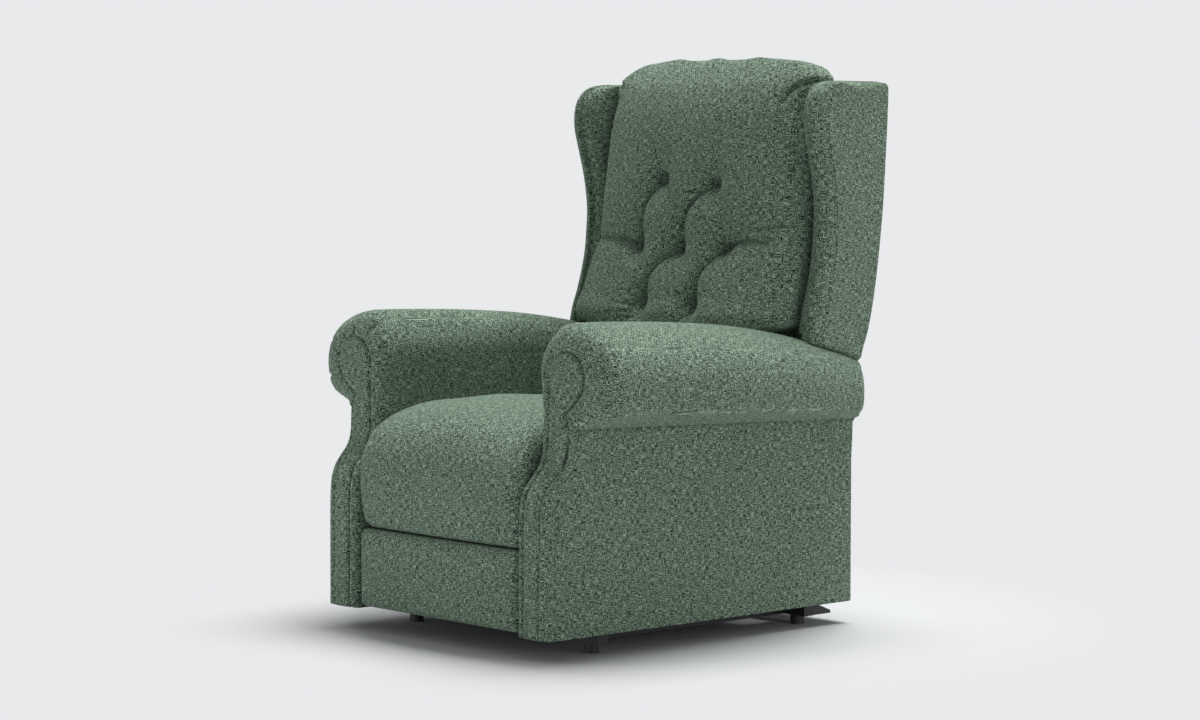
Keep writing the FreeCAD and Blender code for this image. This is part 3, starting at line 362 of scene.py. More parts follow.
def plated_steel():
    """Zinc-plated steel with fine turning marks."""
    zinc = Finish("zinc_plate", metallic=1.0)
    x, y, z = zinc.axes()
    marks = zinc.noise(zinc.point(x * 1800.0, y * 60.0, z * 60.0), 1.0, 3.0)
    cloud = zinc.noise(zinc.place(), 35.0, 4.0)
    zinc.feed("Base Color", zinc.mix(cloud, srgb(158, 160, 163), srgb(196, 197, 198)))
    zinc.feed("Roughness", zinc.spread(marks + cloud * 0.4, 0.4, 1.0, 0.24, 0.42))
    zinc.relief(marks, 0.00008, 0.4)
    return zinc.material


def moulded_plastic():
    """Black moulded plastic with a fine spark texture."""
    nylon = Finish("black_plastic", roughness=0.5)
    place = nylon.place()
    spark = nylon.noise(place, 1400.0, 1.0)
    scuff = nylon.spread(nylon.noise(place, 25.0, 5.0, 0.7), 0.55, 0.75)
    nylon.feed("Base Color", nylon.mix(scuff * 0.4, srgb(30, 30, 31), srgb(48, 48, 50)))
    nylon.feed("Roughness", nylon.spread(spark, 0.3, 0.7, 0.42, 0.58))
    nylon.relief(spark, 0.0001, 0.5)
    return nylon.material


def hardwood():
    """Sawn beech with long grain and pores."""
    beech = Finish("hardwood", roughness=0.7)
    x, y, z = beech.axes()
    grain = beech.noise(beech.point(x * 3.0, y * 46.0, z * 46.0), 1.0, 6.0, 0.62)
    pores = beech.spread(beech.noise(beech.point(x * 30.0, y * 700.0, z * 700.0), 1.0, 1.0), 0.58, 0.7)
    wood = beech.ramp(grain, (0.25, srgb(150, 112, 74)), (0.5, srgb(186, 148, 104)),
                      (0.8, srgb(206, 172, 128)))
    beech.feed("Base Color", beech.mix(pores * 0.45, wood, srgb(112, 80, 52)))
    beech.feed("Roughness", beech.spread(grain, 0.3, 0.7, 0.55, 0.75))
    beech.relief(grain - pores * 0.5, 0.0004, 0.5)
    return beech.material


def woven_webbing():
    """Black elastic webbing: ribs along the strap and a fine crosswise weave."""
    band = Finish("elastic_webbing", roughness=0.85, sheen_weight=0.1)
    x, y, z = band.axes()
    ribs = (x * 1500.0).sine() * 0.5 + 0.5
    weave = ((y + z) * 2600.0).sine() * 0.5 + 0.5
    lint = band.noise(band.place(), 220.0, 3.0)
    band.feed("Base Color", band.mix(ribs * 0.5 + lint * 0.3, srgb(20, 20, 21), srgb(52, 52, 54)))
    band.relief(ribs * 0.6 + weave * 0.4, 0.0005, 0.7)
    return band.material


# Shapes that several pieces share
arm_front = through((0.045, 0.0), (0.25, 0.001), (0.297, 0.004), (0.325, 0.013), (0.347, 0.030),
                    (0.368, 0.049), (0.390, 0.057), (0.417, 0.0595), (0.44, 0.060), (0.70, 0.060))
crest_height = through((0.0, 0.641), (0.107, 0.641), (0.287, 0.636), (0.373, 0.631), (0.468, 0.6235),
                       (0.622, 0.601), (0.740, 0.573), (0.830, 0.546), (0.90, 0.522))
SEAM_FRONT, SEAM_REAR, CREST = 0.442, 0.419, 0.641
ROLL_CENTRE, SCROLL_RADIUS = (0.327, 0.538), 0.050
INNER, OUTER, ROLL_OUTER = 0.250, 0.3375, 0.450
ROLL_SHAPE = [(0.2512, 0.580), (0.262, 0.613), (0.283, 0.6345), (0.310, 0.641), (0.350, 0.6335),
              (0.396, 0.616), (0.430, 0.588), (0.4465, 0.555)]
roll_top = through((INNER, 0.56), *ROLL_SHAPE)
neck_edge = through((0.045, 0.3180), (0.290, 0.3180), (0.330, 0.3215), (0.370, 0.3300), (0.400, 0.3340),
                    (0.425, 0.3350), (0.452, 0.3340))
overhang = through((0.0, 1.0), (0.40, 1.0), (0.60, 0.90), (0.76, 0.60), (0.852, 0.36))
roll_rear = through((0.25, 0.862), (0.33, 0.856), (0.40, 0.832), (0.45, 0.818))


def narrowed(x, back):
    """The roll's overhang beyond the side panel gets smaller towards the rear."""
    return np.where(x > OUTER, OUTER + (x - OUTER) * overhang(back), x)


def seam_height(back):
    """Height of the seam between the roll and the side panel."""
    return SEAM_FRONT + (SEAM_REAR - SEAM_FRONT) * rising(back - 0.06, 0.77)


def settle(height, back):
    """Move a height of the arm's front section to where it is further back."""
    low, seam = ARM_FOOT, seam_height(back)
    under = low + (height - low) * (seam - low) / (SEAM_FRONT - low)
    over = seam + (height - SEAM_FRONT) * (crest_height(back) - seam) / (CREST - SEAM_FRONT)
    return np.where(height > SEAM_FRONT, over, under)


def facing_inner(height):
    """Inner edge of the facing's leg, a little further out where it nears the scroll."""
    return 0.271 + 0.006 * rising(height - 0.30, 0.15)


def arm_outlines():
    """The arm seen from the front: its outer line, and the facing's line inside it, point for point."""
    runs = []
    heights = bunched(6, 56, 0.012, ROLL_CENTRE[1] - ARM_FOOT)[:-5] + ARM_FOOT
    heights = np.r_[heights, ROLL_CENTRE[1]]
    inner_foot = ARM_FOOT + 0.003
    runs.append((plane(INNER, heights), plane(facing_inner(heights), np.maximum(heights, inner_foot))))
    roll = rounded([(INNER, 0.541), *ROLL_SHAPE, (ROLL_OUTER, 0.521), (0.4435, 0.488), (0.428, 0.469)], 170)
    turn = np.radians(np.linspace(180, -55, 170))
    scroll = ROLL_CENTRE + SCROLL_RADIUS * plane(np.cos(turn), np.sin(turn))
    runs.append((roll, scroll))
    curl = rounded([(0.428, 0.469), (0.406, 0.4605), (0.382, 0.452), (0.356, 0.4445),
                    (OUTER - 0.0028, SEAM_FRONT)], 44)
    neck = rounded([scroll[-1], (0.341, 0.484), (0.325, 0.473), (0.3300, 0.460), (0.3345, SEAM_FRONT)], 44)
    runs.append((curl, neck))
    fall = SEAM_FRONT - bunched(9, 50, 0.012, SEAM_FRONT - ARM_FOOT)
    runs.append((plane(OUTER - 0.0028 * groove(fall - SEAM_FRONT, 0.0024), fall),
                 plane(neck_edge(fall), np.maximum(fall, inner_foot))))
    runs.append((plane(np.linspace(OUTER, INNER, 14), ARM_FOOT),
                 plane(np.linspace(0.3180, 0.271, 14), inner_foot)))
    outer, inner = [np.vstack([run[which][:-1] for run in runs]) for which in (0, 1)]
    names = np.concatenate([[index] * (len(run[0]) - 1) for index, run in enumerate(runs)])
    return outer, inner, names


def arm_rings(pleat_depth):
    """The arm's cover from the facing's seam, over the padded band, to its rounded rear end."""
    outer, inner, part = arm_outlines()
    span = outer - inner
    width = np.linalg.norm(span, axis=1)
    outward = span / width[:, None]
    depth = np.minimum(width * np.where(part == 3, 0.5, 0.9), 0.047)
    in_roll = (part == 1) | ((part == 2) & (outer[:, 0] > 0.345))
    rear = np.where(in_roll | ((part == 0) & (outer[:, 1] > 0.47)), roll_rear(outer[:, 0]), PANEL_REAR)
    kernel = np.hanning(25) / np.hanning(25).sum()
    rear, rolled = [np.convolve(np.r_[around[-12:], around, around[:12]], kernel, "valid")
                    for around in (rear, in_roll)]
    end_round = 0.009 + 0.019 * rolled
    direction = np.degrees(np.arctan2(inner[:, 1] - ROLL_CENTRE[1], inner[:, 0] - ROLL_CENTRE[0]))
    pleats = sum(np.exp(-((direction - angle) / 2.6) ** 2) for angle in (-33, 17, 60, 92, 130, 163))
    hook = np.hypot(inner[:, 0] - 0.3385, inner[:, 1] - 0.4815)
    hooked = 0.004 * np.exp(-(hook / 0.0022) ** 2) * (part == 2)
    pleats = np.where(part == 1, pleats, 0) * pleat_depth + hooked
    sewn_in = np.choose(part, (0.009, 0.007, 0.008, 0.004, 0.004))
    rings = []

    def ring(spot, back):
        x, height = narrowed(spot[:, 0], back), settle(spot[:, 1], np.clip(back, 0.06, 0.9))
        swell = np.exp(-((height - 0.560) / 0.060) ** 2) * rising(0.40 - back, 0.20)
        x = x - 0.010 * swell * rising(0.285 - x, 0.035)
        rings.append(bay(x, back, height))

    for angle in np.radians(np.r_[0, 2.5, 6, 10, np.linspace(15, 90, 15)]):
        spot = inner + span * math.sin(angle)
        tuck = sewn_in * np.exp(-(width * math.sin(angle) / 0.0035) ** 1.2)
        fold = pleats * math.sin(2 * min(angle, math.pi / 4) + 0.35) * math.cos(angle) ** 0.4
        spot = spot - outward * (fold * math.sin(angle))[:, None]
        back = arm_front(spot[:, 1]) - 0.001 + tuck + depth * (1 - math.cos(angle)) + fold * 0.8
        ring(spot, back)
    start = arm_front(outer[:, 1]) + depth - 0.001
    for share in np.r_[np.linspace(0, 0.045, 30)[1:], np.linspace(0.045, 1, 60)[1:-1]]:
        back = start + (rear - end_round - start) * share
        sewn = groove(np.where(part == 3, back - arm_front(outer[:, 1]) - 0.024, 1), 0.0028)
        ring(outer - outward * (0.0036 * sewn)[:, None], back)
    for angle in np.radians(np.linspace(0, 90, 9)):
        spot = outer - span * ((1 - math.cos(angle)) * np.minimum(end_round / width, 0.9))[:, None]
        ring(spot, rear - end_round + end_round * math.sin(angle))
    return np.array(rings)


def facing_sides(height):
    """Inner and outer edge of the facing at a height."""
    above = rising(height - ROLL_CENTRE[1], SCROLL_RADIUS)
    half = SCROLL_RADIUS * np.sqrt(1 - above ** 2)
    left = np.where(height > ROLL_CENTRE[1], ROLL_CENTRE[0] - half, facing_inner(height))
    curl = through((0.452, 0.3325), (0.460, 0.3290), (0.473, 0.3250), (0.484, 0.341), (0.497, 0.3557))
    below = rising(ROLL_CENTRE[1] - height, SCROLL_RADIUS)
    lower = ROLL_CENTRE[0] + SCROLL_RADIUS * np.sqrt(1 - below ** 2)
    right = np.where(height > 0.452, curl(height), neck_edge(height))
    right = np.where(height > 0.497, lower, right)
    return left, np.where(height > ROLL_CENTRE[1], ROLL_CENTRE[0] + half, right)


def facing_grids():
    """The long facing down the arm's front: scroll, neck and curved leg."""
    top = ROLL_CENTRE[1] + SCROLL_RADIUS
    turned = ROLL_CENTRE[1] + SCROLL_RADIUS * np.sin(np.radians(np.linspace(-55, 89.5, 60)))
    heights = np.r_[np.linspace(ARM_FOOT + 0.002, 0.053, 6), np.linspace(0.056, 0.440, 90),
                    np.linspace(0.443, 0.494, 22), turned]
    shares = (1 - np.cos(np.linspace(0, math.pi, 30))) / 2
    left, right = facing_sides(heights)
    left, right = left + 0.0008, right - 0.0008
    x = left[:, None] + (right - left)[:, None] * shares
    height = heights[:, None]
    edge = np.minimum(np.minimum(x - left[:, None], right[:, None] - x), height - ARM_FOOT)
    edge = np.minimum(edge, np.maximum(top - np.hypot(x - ROLL_CENTRE[0], height - ROLL_CENTRE[1])
                                       - (top - SCROLL_RADIUS), np.where(height > 0.5, 0, 1)))
    front = arm_front(height) + 0.006 - 0.0085 * edge_round(edge, 0.012)
    return bay(x, front, height), bay(x, arm_front(height) + 0.008, height)


SIDES = (("left", 1), ("right", -1))
FULL, SOFTER = 0.9, 0.85


def mirrored(points, side):
    return points * np.array([side, 1, 1])


def roll_surface(x, back):
    """Height of the roll's upper surface anywhere along the arm, and of the panel's edge behind it."""
    wide = np.where(x > OUTER, OUTER + (x - OUTER) / overhang(back), x)
    over = settle(roll_top(np.clip(wide, INNER, ROLL_SHAPE[-1][0])), back)
    ended = rising(back - 0.835, 0.020)
    return over * (1 - ended) + np.minimum(over, 0.512) * ended


# Cushions
def cushion_rings(sizes):
    """Seat cushion: crowned, rounded over its front and hanging over the rail."""
    half, deck = 0.2492, 0.3475
    shape = rounded([(0.0440, 0.3420), (0.0442, 0.300), (0.0442, 0.250), (0.0435, 0.219), (0.037, 0.2112),
                     (0.022, 0.2112), (0.009, 0.225), (0.002, 0.262), (-0.002, 0.300), (0.001, 0.345),
                     (0.013, 0.385), (0.037, 0.421), (0.072, 0.446), (0.120, 0.4615), (0.200, 0.4715),
                     (0.300, 0.4735), (0.420, 0.468), (0.550, 0.455), (0.620, 0.438), (0.641, 0.405),
                     (0.639, 0.362), (0.625, deck)], 150)
    shape = np.vstack([shape, plane(np.linspace(0.60, 0.050, 30), deck)])
    places = -half + half * (1 - np.cos(np.linspace(0, 0.9, 16))) * 0.42
    places = np.unique(np.round(np.r_[places, np.linspace(places[-1], -places[-1], 60), -places], 6))
    setback, level = shape.T
    on_top = rising(level - 0.36, 0.06) * rising(0.66 - setback, 0.02)
    on_front = rising(0.040 - setback, 0.02) * rising(0.45 - level, 0.06)
    under = rising(0.232 - level, 0.015)
    rings = []
    for x in places:
        edge = half - abs(x)
        turned = 1 - float(edge_round(edge, 0.034))
        fall = sizes.cushion_crown * (x / half) ** 2 + 0.026 * turned
        recede = 0.005 * (x / half) ** 2 + 0.022 * turned
        wrinkle = 0.0012 * np.sin(setback * 37 + x * 21) * on_top
        height = level - fall * on_top + wrinkle + 0.014 * turned * under
        rings.append(bay(x, setback + recede * on_front, height))
    return np.array(rings)


def footrest_rings():
    """Footrest pad: full in the middle, its cover drawn round the board and tucked behind it."""
    low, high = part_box("footrest_pad")
    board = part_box("footrest_board")[1]
    half, top, foot, flat = high.x, high.z + 0.002, low.z, high.y - FRONT
    behind = board.y - FRONT
    middle, reach = (top + foot) / 2, (top - foot) / 2
    rings = []

    def ring(inset, back=None, radius=0.012):
        radius = max(0.0015, radius - inset)
        wide, tall = half - inset - radius, reach - inset - radius
        points = []
        for turn, (sign_x, sign_z) in enumerate(((1, 1), (-1, 1), (-1, -1), (1, -1))):
            angles = np.radians(np.linspace(0, 90, 9) + 90 * turn)
            points.append(plane(sign_x * wide + radius * np.cos(angles),
                                sign_z * tall + radius * np.sin(angles)))
        loop = np.vstack(points + [points[0][:1]])
        spots = evenly(loop, 221)[:-1]
        x, height = spots.T
        if back is None:
            crown = (1 - (x / half) ** 2) * (1 - (height / reach) ** 2)
            back = flat - 0.0165 * edge_round(inset, 0.022) - 0.0055 * crown
        rings.append(bay(x, back, height + middle))

    for inset in (0.0775, 0.072, 0.064, 0.056, 0.048, 0.040, 0.032, 0.026, 0.021, 0.016, 0.012, 0.0085,
                  0.0055, 0.003, 0.0013, 0.0003):
        ring(inset)
    for inset, back, radius in ((0.0009, flat, 0.0085), (0.0009, flat + 0.0015, 0.008),
                                (0.0006, flat + 0.004, 0.0075), (0.0006, behind - 0.002, 0.0075),
                                (0.0011, behind + 0.0006, 0.0075),
                                (0.0032, behind + 0.0018, 0.009), (0.0092, behind + 0.0016, 0.012),
                                (0.0098, behind + 0.0008, 0.012), (0.0098, behind + 0.0003, 0.012)):
        ring(inset, back, radius)
    edge = half - board.x - 0.0002
    for inset, back in ((edge, behind + 0.0003), (edge, flat + 0.0004), (0.040, flat + 0.0003),
                        (0.0775, flat + 0.0003)):
        ring(inset, back, 0.0054)
    return np.array(rings)


TUFTS = [(-0.073, 0.904), (0.083, 0.896), (-0.127, 0.762), (0.004, 0.758), (0.131, 0.763),
         (-0.073, 0.643), (0.077, 0.641)]
FOLDS = [(0, 2, 1.0), (0, 3, 0.5), (1, 3, 1.0), (1, 4, 0.5), (2, 5, 0.5), (3, 5, 1.0), (3, 6, 0.5),
         (4, 6, 1.0)]
CREASES = [([(-0.127, 0.762), (-0.165, 0.774), (-0.210, 0.779), (-0.290, 0.779)], 0.027, 0.014),
           ([(0.131, 0.763), (0.152, 0.774), (0.185, 0.781), (0.240, 0.779)], 0.027, 0.014),
           ([(0.215, 0.803), (0.250, 0.809), (0.300, 0.815)], 0.006, 0.006),
           ([(-0.073, 0.904), (-0.095, 0.960), (-0.118, 1.020)], 0.013, 0.026),
           ([(0.083, 0.896), (0.100, 0.960), (0.105, 1.020)], 0.013, 0.026),
           ([(-0.073, 0.634), (-0.110, 0.643), (-0.150, 0.646)], 0.005, 0.005),
           ([(-0.080, 0.628), (-0.120, 0.629), (-0.160, 0.622)], 0.005, 0.005),
           ([(-0.076, 0.622), (-0.105, 0.612), (-0.130, 0.594)], 0.005, 0.005),
           ([(0.070, 0.626), (0.045, 0.606), (0.015, 0.590)], 0.006, 0.005),
           ([(0.237, 1.060), (0.243, 1.078), (0.262, 1.095), (0.290, 1.1045), (0.330, 1.107)], 0.011, 0.004),
           ([(-0.330, 1.107), (-0.290, 1.1045), (-0.262, 1.095)], 0.006, 0.004)]


def near_path(x, height, path):
    """Distance to a broken line, and how far along it the nearest point is."""
    near, place, done = np.full(x.shape, 9.0), np.zeros(x.shape), 0.0
    runs = np.hypot(*np.diff(np.array(path), axis=0).T)
    for start, end, run in zip(path, path[1:], runs):
        across, rise = (end[0] - start[0]) / run, (end[1] - start[1]) / run
        along = np.clip((x - start[0]) * across + (height - start[1]) * rise, 0, run)
        away = np.hypot(x - start[0] - along * across, height - start[1] - along * rise)
        place = np.where(away < near, done + along, place)
        near = np.minimum(near, away)
        done += run
    return near, place / done


def swung(first, second):
    """A fold between two tufts that leaves the upper one sideways and falls straight into the lower one."""
    down = np.linspace(0, 1, 13)
    sideways = 1 - (1 - down) ** 3.4
    return [(first[0] + (second[0] - first[0]) * s, first[1] + (second[1] - first[1]) * d)
            for s, d in zip(sideways, down)]


def tufting(x, height):
    """How far the sewn tufts and the folds between them draw the back's front in."""
    fold_depth, line_depth, hollow, button = 0.026, 0.006, 0.022, 0.020
    drawn = np.zeros_like(x)
    for first, second, strength in FOLDS:
        distance, along = near_path(x, height, swung(TUFTS[first], TUFTS[second]))
        shallow = 1 - 0.35 * np.sin(along * math.pi)
        width = 0.020 - 0.010 * (strength - 0.5)
        drawn = np.maximum(drawn, fold_depth * strength * shallow * np.exp(-(distance / width) ** 0.9))
        drawn = drawn + line_depth * (strength > 0.9) * np.exp(-(distance / 0.0034) ** 2)
    for path, depth, width in CREASES:
        distance, along = near_path(x, height, path)
        fade = 1 - 0.65 * along if abs(path[0][0]) < 0.2 else np.sin((0.2 + 0.6 * along) * math.pi)
        drawn = np.maximum(drawn, depth * fade * np.exp(-(distance / width) ** 0.9))
        drawn = drawn + min(depth, 0.008) * (width < 0.02) * fade * np.exp(-(distance / 0.0032) ** 2)
    for spot_x, spot_height in TUFTS:
        distance = np.hypot(x - spot_x, (height - spot_height) * 0.9)
        drawn = drawn + hollow * np.exp(-(distance / 0.036) ** 1.2)
        drawn = drawn + button * np.exp(-(distance / 0.012) ** 2)
    gusset = np.exp(-((np.abs(x) - 0.285) / 0.030) ** 2 - ((height - 1.062) / 0.036) ** 2)
    return drawn + 0.009 * gusset


def back_rings(sizes):
    """Back cushion: a full tufted front between the wings, narrow between the arms, domed at the top."""
    side_line = through((0.456, 0.690), (0.500, 0.650), (0.560, 0.634), (0.623, 0.632), (0.665, 0.650),
                        (0.718, 0.672), (0.782, 0.696), (0.878, 0.711), (0.985, 0.724), (1.049, 0.733),
                        (1.152, 0.775))
    half_line = through((0.456, 0.2435), (0.500, 0.2475), (0.594, 0.2485), (0.602, 0.270), (0.611, 0.2825),
                        (1.060, 0.2825), (1.110, 0.2930), (1.152, 0.2930))
    bulge = through((0.456, 0.026), (0.560, 0.040), (0.640, 0.045), (0.760, 0.058), (0.880, 0.058),
                    (1.000, 0.048), (1.080, 0.036), (1.152, 0.030))
    rear_line = through((0.456, 0.7795), (1.000, 0.8605), (1.060, 0.872), (1.090, 0.880), (1.152, 0.865))
    narrowing = through((1.085, 0.0), (1.110, 0.001), (1.1275, 0.018), (1.145, 0.068), (1.152, 0.130))
    top = sizes.back_height
    bottom, shoulder, middle = 0.456, 0.594, 0.775
    dome_start, dome_rise = 1.085, 0.067
    wing_slope, wing_root = 0.1228, 0.905
    heights = np.r_[0.4565, 0.459, 0.464, np.linspace(0.470, 0.585, 24), np.linspace(0.590, dome_start, 190),
                    dome_start + dome_rise * np.sin(np.radians(np.linspace(3, 89, 26)))]
    shares = np.linspace(-1, 1, 191)
    corner = np.radians(np.linspace(0, 90, 9))[1:]
    rings = []
    for height in heights:
        dome = math.sqrt(max(0.0, 1 - max(0.0, (height - dome_start) / (dome_rise + 0.0002)) ** 2))
        swelled = 0.10 + 0.90 * dome
        foot = float(edge_round(height - bottom, 0.016))
        half = float(half_line(height)) - float(narrowing(height)) - 0.012 * (1 - foot)
        side = middle + (float(side_line(height)) - middle) * swelled + 0.014 * (1 - foot)
        rear = middle + (float(rear_line(height)) - middle) * swelled
        radius = min(0.034, (rear - side) * 0.4)
        flare = rising(height - shoulder, 0.018) * wing_slope * dome
        half = half + flare * (wing_root - side)
        flat = half - radius
        x = shares * flat
        fullness = (1 - np.abs(x / half) ** 2.6) * float(bulge(height)) * swelled
        fading = min(1.0, dome * 1.3)
        drawn = tufting(x, height) * fading
        scallop = 0.004 * (1 - dome) * np.cos(x * 2 * math.pi / 0.118)
        front = side - fullness + drawn
        corners = []
        for way in (1, -1):
            turned = way * (flat + radius * np.sin(corner))
            pulled = tufting(turned, height) * fading * np.cos(corner)
            corners.append(plane(turned, side + radius * (1 - np.cos(corner)) + pulled))
        half = half - flare * (rear - side)
        sweep = rising(height - 1.065, 0.04)
        wide, deep = 0.012 + (0.75 * half - 0.012) * sweep, 0.012 + (0.62 * (rear - side) - 0.012) * sweep
        behind = [(half - wide * (1 - math.cos(a)), rear - deep * (1 - math.sin(a)))
                  for a in np.radians(np.linspace(0, 90, 10))]
        across = [(px, rear) for px in np.linspace(half - wide, wide - half, 16)[1:-1]]
        closing = [(-px, py) for px, py in reversed(behind)]
        line = np.vstack([plane(x, front), corners[0], behind, across, closing, corners[1][::-1]])
        lift = np.r_[scallop, np.zeros(len(line) - len(x))]
        rings.append(bay(*line.T, np.minimum(height + lift, top + 0.004)))
    return np.array(rings)


# Wings and the outside of the back
WING_FRONT = [(0.672, 0.585), (0.681, 0.632), (0.693, 0.667), (0.705, 0.710), (0.714, 0.754), (0.718, 0.797),
              (0.720, 0.841), (0.716, 0.885), (0.708, 0.928), (0.697, 0.972), (0.688, 1.010), (0.687, 1.042),
              (0.694, 1.070), (0.711, 1.091), (0.734, 1.101), (0.765, 1.1045)]
back_rear = through((0.250, 0.777), (0.360, 0.788), (0.440, 0.824), (0.518, 0.843), (0.574, 0.866),
                    (0.662, 0.888), (0.751, 0.903), (0.839, 0.914), (0.927, 0.921), (1.016, 0.927),
                    (1.085, 0.930), (1.101, 0.929))


def wing_grids():
    """A wing: thick, soft at its front, turned outwards and fitted over the arm's roll."""
    count = 150
    ahead = rounded(WING_FRONT, count)
    low, high = 0.505, 1.1045
    thickness, padded_zone, double_seam = 0.029, 0.150, (0.0285, 0.0365)
    root, splay = 0.3155, math.tan(math.radians(7))
    heights = np.linspace(low, high, count)
    behind = plane(back_rear(heights), heights)
    behind[:, 0] -= 0.016 * (1 - edge_round(high - heights, 0.016))
    run = np.linalg.norm(behind - ahead, axis=1)
    places = np.r_[np.linspace(0, 0.045, 34), np.linspace(0.045, padded_zone, 26)[1:]]
    shares = np.r_[places / padded_zone * 0.86, 0.86 + 0.14 * np.sin(np.linspace(0, math.pi / 2, 16))[1:]]
    spot = ahead[:, None] + (behind - ahead)[:, None] * shares[:, None]
    back, height = spot[..., 0], spot[..., 1]
    from_front = shares * run[:, None]
    from_rear = run[:, None] - from_front
    from_top = np.linalg.norm(spot - spot[-1:], axis=2)
    climb = np.linalg.norm(spot - spot[:1], axis=2)
    plump = (edge_round(from_front, 0.025) * edge_round(from_rear, 0.012)
             * edge_round(climb, 0.008) * edge_round(from_top, 0.020))
    middle = root + (0.930 - back) * splay
    seam = sum(groove(from_front - line, 0.0020) for line in double_seam)
    seam = seam * rising(from_top - 0.03, 0.05)
    grids = []
    for way in (-1, 1):
        x = middle + way * (thickness * plump - (0.0038 * seam if way > 0 else 0))
        foot = roll_surface(middle[0] + way * thickness, back[0]) + 0.004
        raised = foot + (height - height[:1]) * (height[-1:] - foot) / (height[-1:] - height[:1])
        grids.append(bay(x, back - 0.004 * way * (1 - shares), raised))
    return grids


def outside_back_grids():
    """The flat outer cover of the back, with a hem and a rolled top edge."""
    heights = np.r_[np.linspace(0.2505, 0.262, 6), np.linspace(0.268, 1.075, 90),
                    np.linspace(1.08, 1.1015, 12)]
    half = through((0.25, 0.2425), (0.345, 0.2425), (0.354, 0.2470), (0.556, 0.2470), (0.564, 0.2885),
                   (1.12, 0.2885))(heights)
    shares = bunched(7, 40, 0.05, 2.0) - 1
    x = half[:, None] * shares
    height = heights[:, None]
    foot, top, hem, thickness = 0.250, 1.102, 0.268, 0.0135
    edge = np.minimum(np.minimum(half[:, None] - np.abs(x), height - foot), top - height)
    sewn = 0.0016 * groove(height - hem, 0.0018)
    rear = back_rear(height) - 0.0006 - 0.006 * (1 - edge_round(edge, 0.006)) - sewn
    return bay(x, rear, height), bay(x, back_rear(height) - thickness, height)


def border_rings():
    """The padded border over the back's top rail, between the cushion and the outer cover."""
    shape = rounded([(0.882, 1.058), (0.872, 1.062), (0.870, 1.078), (0.874, 1.094), (0.886, 1.1005),
                     (0.902, 1.1020), (0.918, 1.1005), (0.9275, 1.093), (0.9285, 1.076), (0.9240, 1.061),
                     (0.912, 1.058)], 44)
    centre = shape.mean(0)
    half = 0.2865
    rings = []
    for x in bunched(9, 44, 0.012, 2 * half) - half:
        full = float(edge_round(half + 0.0001 - abs(x), 0.010))
        spot = centre + (shape - centre) * (0.35 + 0.65 * full + 0.006 * math.sin(x * 140))
        rings.append(bay(x, *spot.T))
    return np.array(rings)


def valance_grids():
    """The rear valance, a padded board with a stitched hem."""
    low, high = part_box("rear_valance")
    front, rear = low.y - FRONT, high.y - FRONT
    across = bunched(7, 50, 0.01, high.x - low.x) + low.x
    up = bunched(7, 30, 0.01, high.z - low.z) + low.z
    x, height = np.meshgrid(across, up)
    edge = np.minimum(high.x - np.abs(x), np.minimum(height - low.z, high.z - height))
    sewn = 0.0014 * groove(height - low.z - 0.018, 0.0018)
    return (bay(x, rear - 0.005 * (1 - edge_round(edge, 0.006)) - sewn, height),
            bay(x, front + 0.001, height))


# Settings
def length(name, number, words):
    return bpy.props.FloatProperty(name=name, description=words, default=number, subtype="DISTANCE",
                                   unit="LENGTH", precision=4)


def colour(name, screen, words):
    return bpy.props.FloatVectorProperty(name=name, description=words, default=srgb(*screen), size=3,
                                         min=0, max=1, subtype="COLOR")


class ReclinerUpholstery(bpy.types.PropertyGroup):
    """Sizes of the upholstery and colours of its cloth, with the painted shade in the gaps between its yarns
    and the painted highlight on their tips.
    """

    yarn: length("Yarn pitch", 0.0016, "Distance between the chenille's yarns")
    cushion_crown: length("Seat crown", 0.018, "How much lower the seat cushion is beside the arms")
    back_height: length("Back height", 1.152, "Top of the back cushion above the floor")
    pleat_depth: length("Pleat depth", 0.0045, "Gathers in the band round the arm's scroll")
    # Painted shade: the colour of the gaps between the yarns, also used for dark slubs
    gap_shade_and_slub_colour: colour("Gaps", (24, 33, 26), "Dark gaps between yarns")
    shade_colour: colour("Shaded yarn", (72, 90, 75), "Sides of the yarns")
    yarn_colour: colour("Yarn", (112, 134, 115), "Body of the yarns")
    # Painted highlight on the tips of the yarns
    tip_highlight_colour: colour("Yarn tips", (172, 196, 174), "Fluffy tips of the yarns")
    fleck_colour: colour("Flecks", (168, 184, 166), "Pale flecks")


class ReclinerStudio(bpy.types.PropertyGroup):
    """The backdrop and the lights."""

    backdrop: colour("Backdrop", (233, 234, 236), "Floor and background")
    key_power: bpy.props.FloatProperty(name="Key light", description="Large lamp above the chair",
                                       default=662.0, min=0, unit="POWER")
    side_power: bpy.props.FloatProperty(name="Side light", description="Lamp at the right of the picture",
                                        default=14.5, min=0, unit="POWER")
    fill_power: bpy.props.FloatProperty(name="Fill light", description="Lamp at the left of the picture",
                                        default=4.8, min=0, unit="POWER")
    ambient: bpy.props.FloatProperty(name="Ambient", description="Light from all round", default=0.33, min=0)


# Steps
class RECLINER_OT_finishes(bpy.types.Operator):
    """Make the materials and put them on the steel, plastic, timber and webbing"""

    bl_idname = "recliner.finishes"
    bl_label = "Finishes"

    def execute(self, context):
        FINISHES.update(
            upholstery=chenille(context.scene.recliner_upholstery), black_steel=painted_steel(),
            bright_steel=plated_steel(), black_plastic=moulded_plastic(), timber=hardwood(),
            webbing=woven_webbing())
        for row in frame["record"]["subparts"]:
            item = frame["nodes"][row["node"]]
            item.data.materials.clear()
            item.data.materials.append(FINISHES[row["material_slot"]])
        return {"FINISHED"}


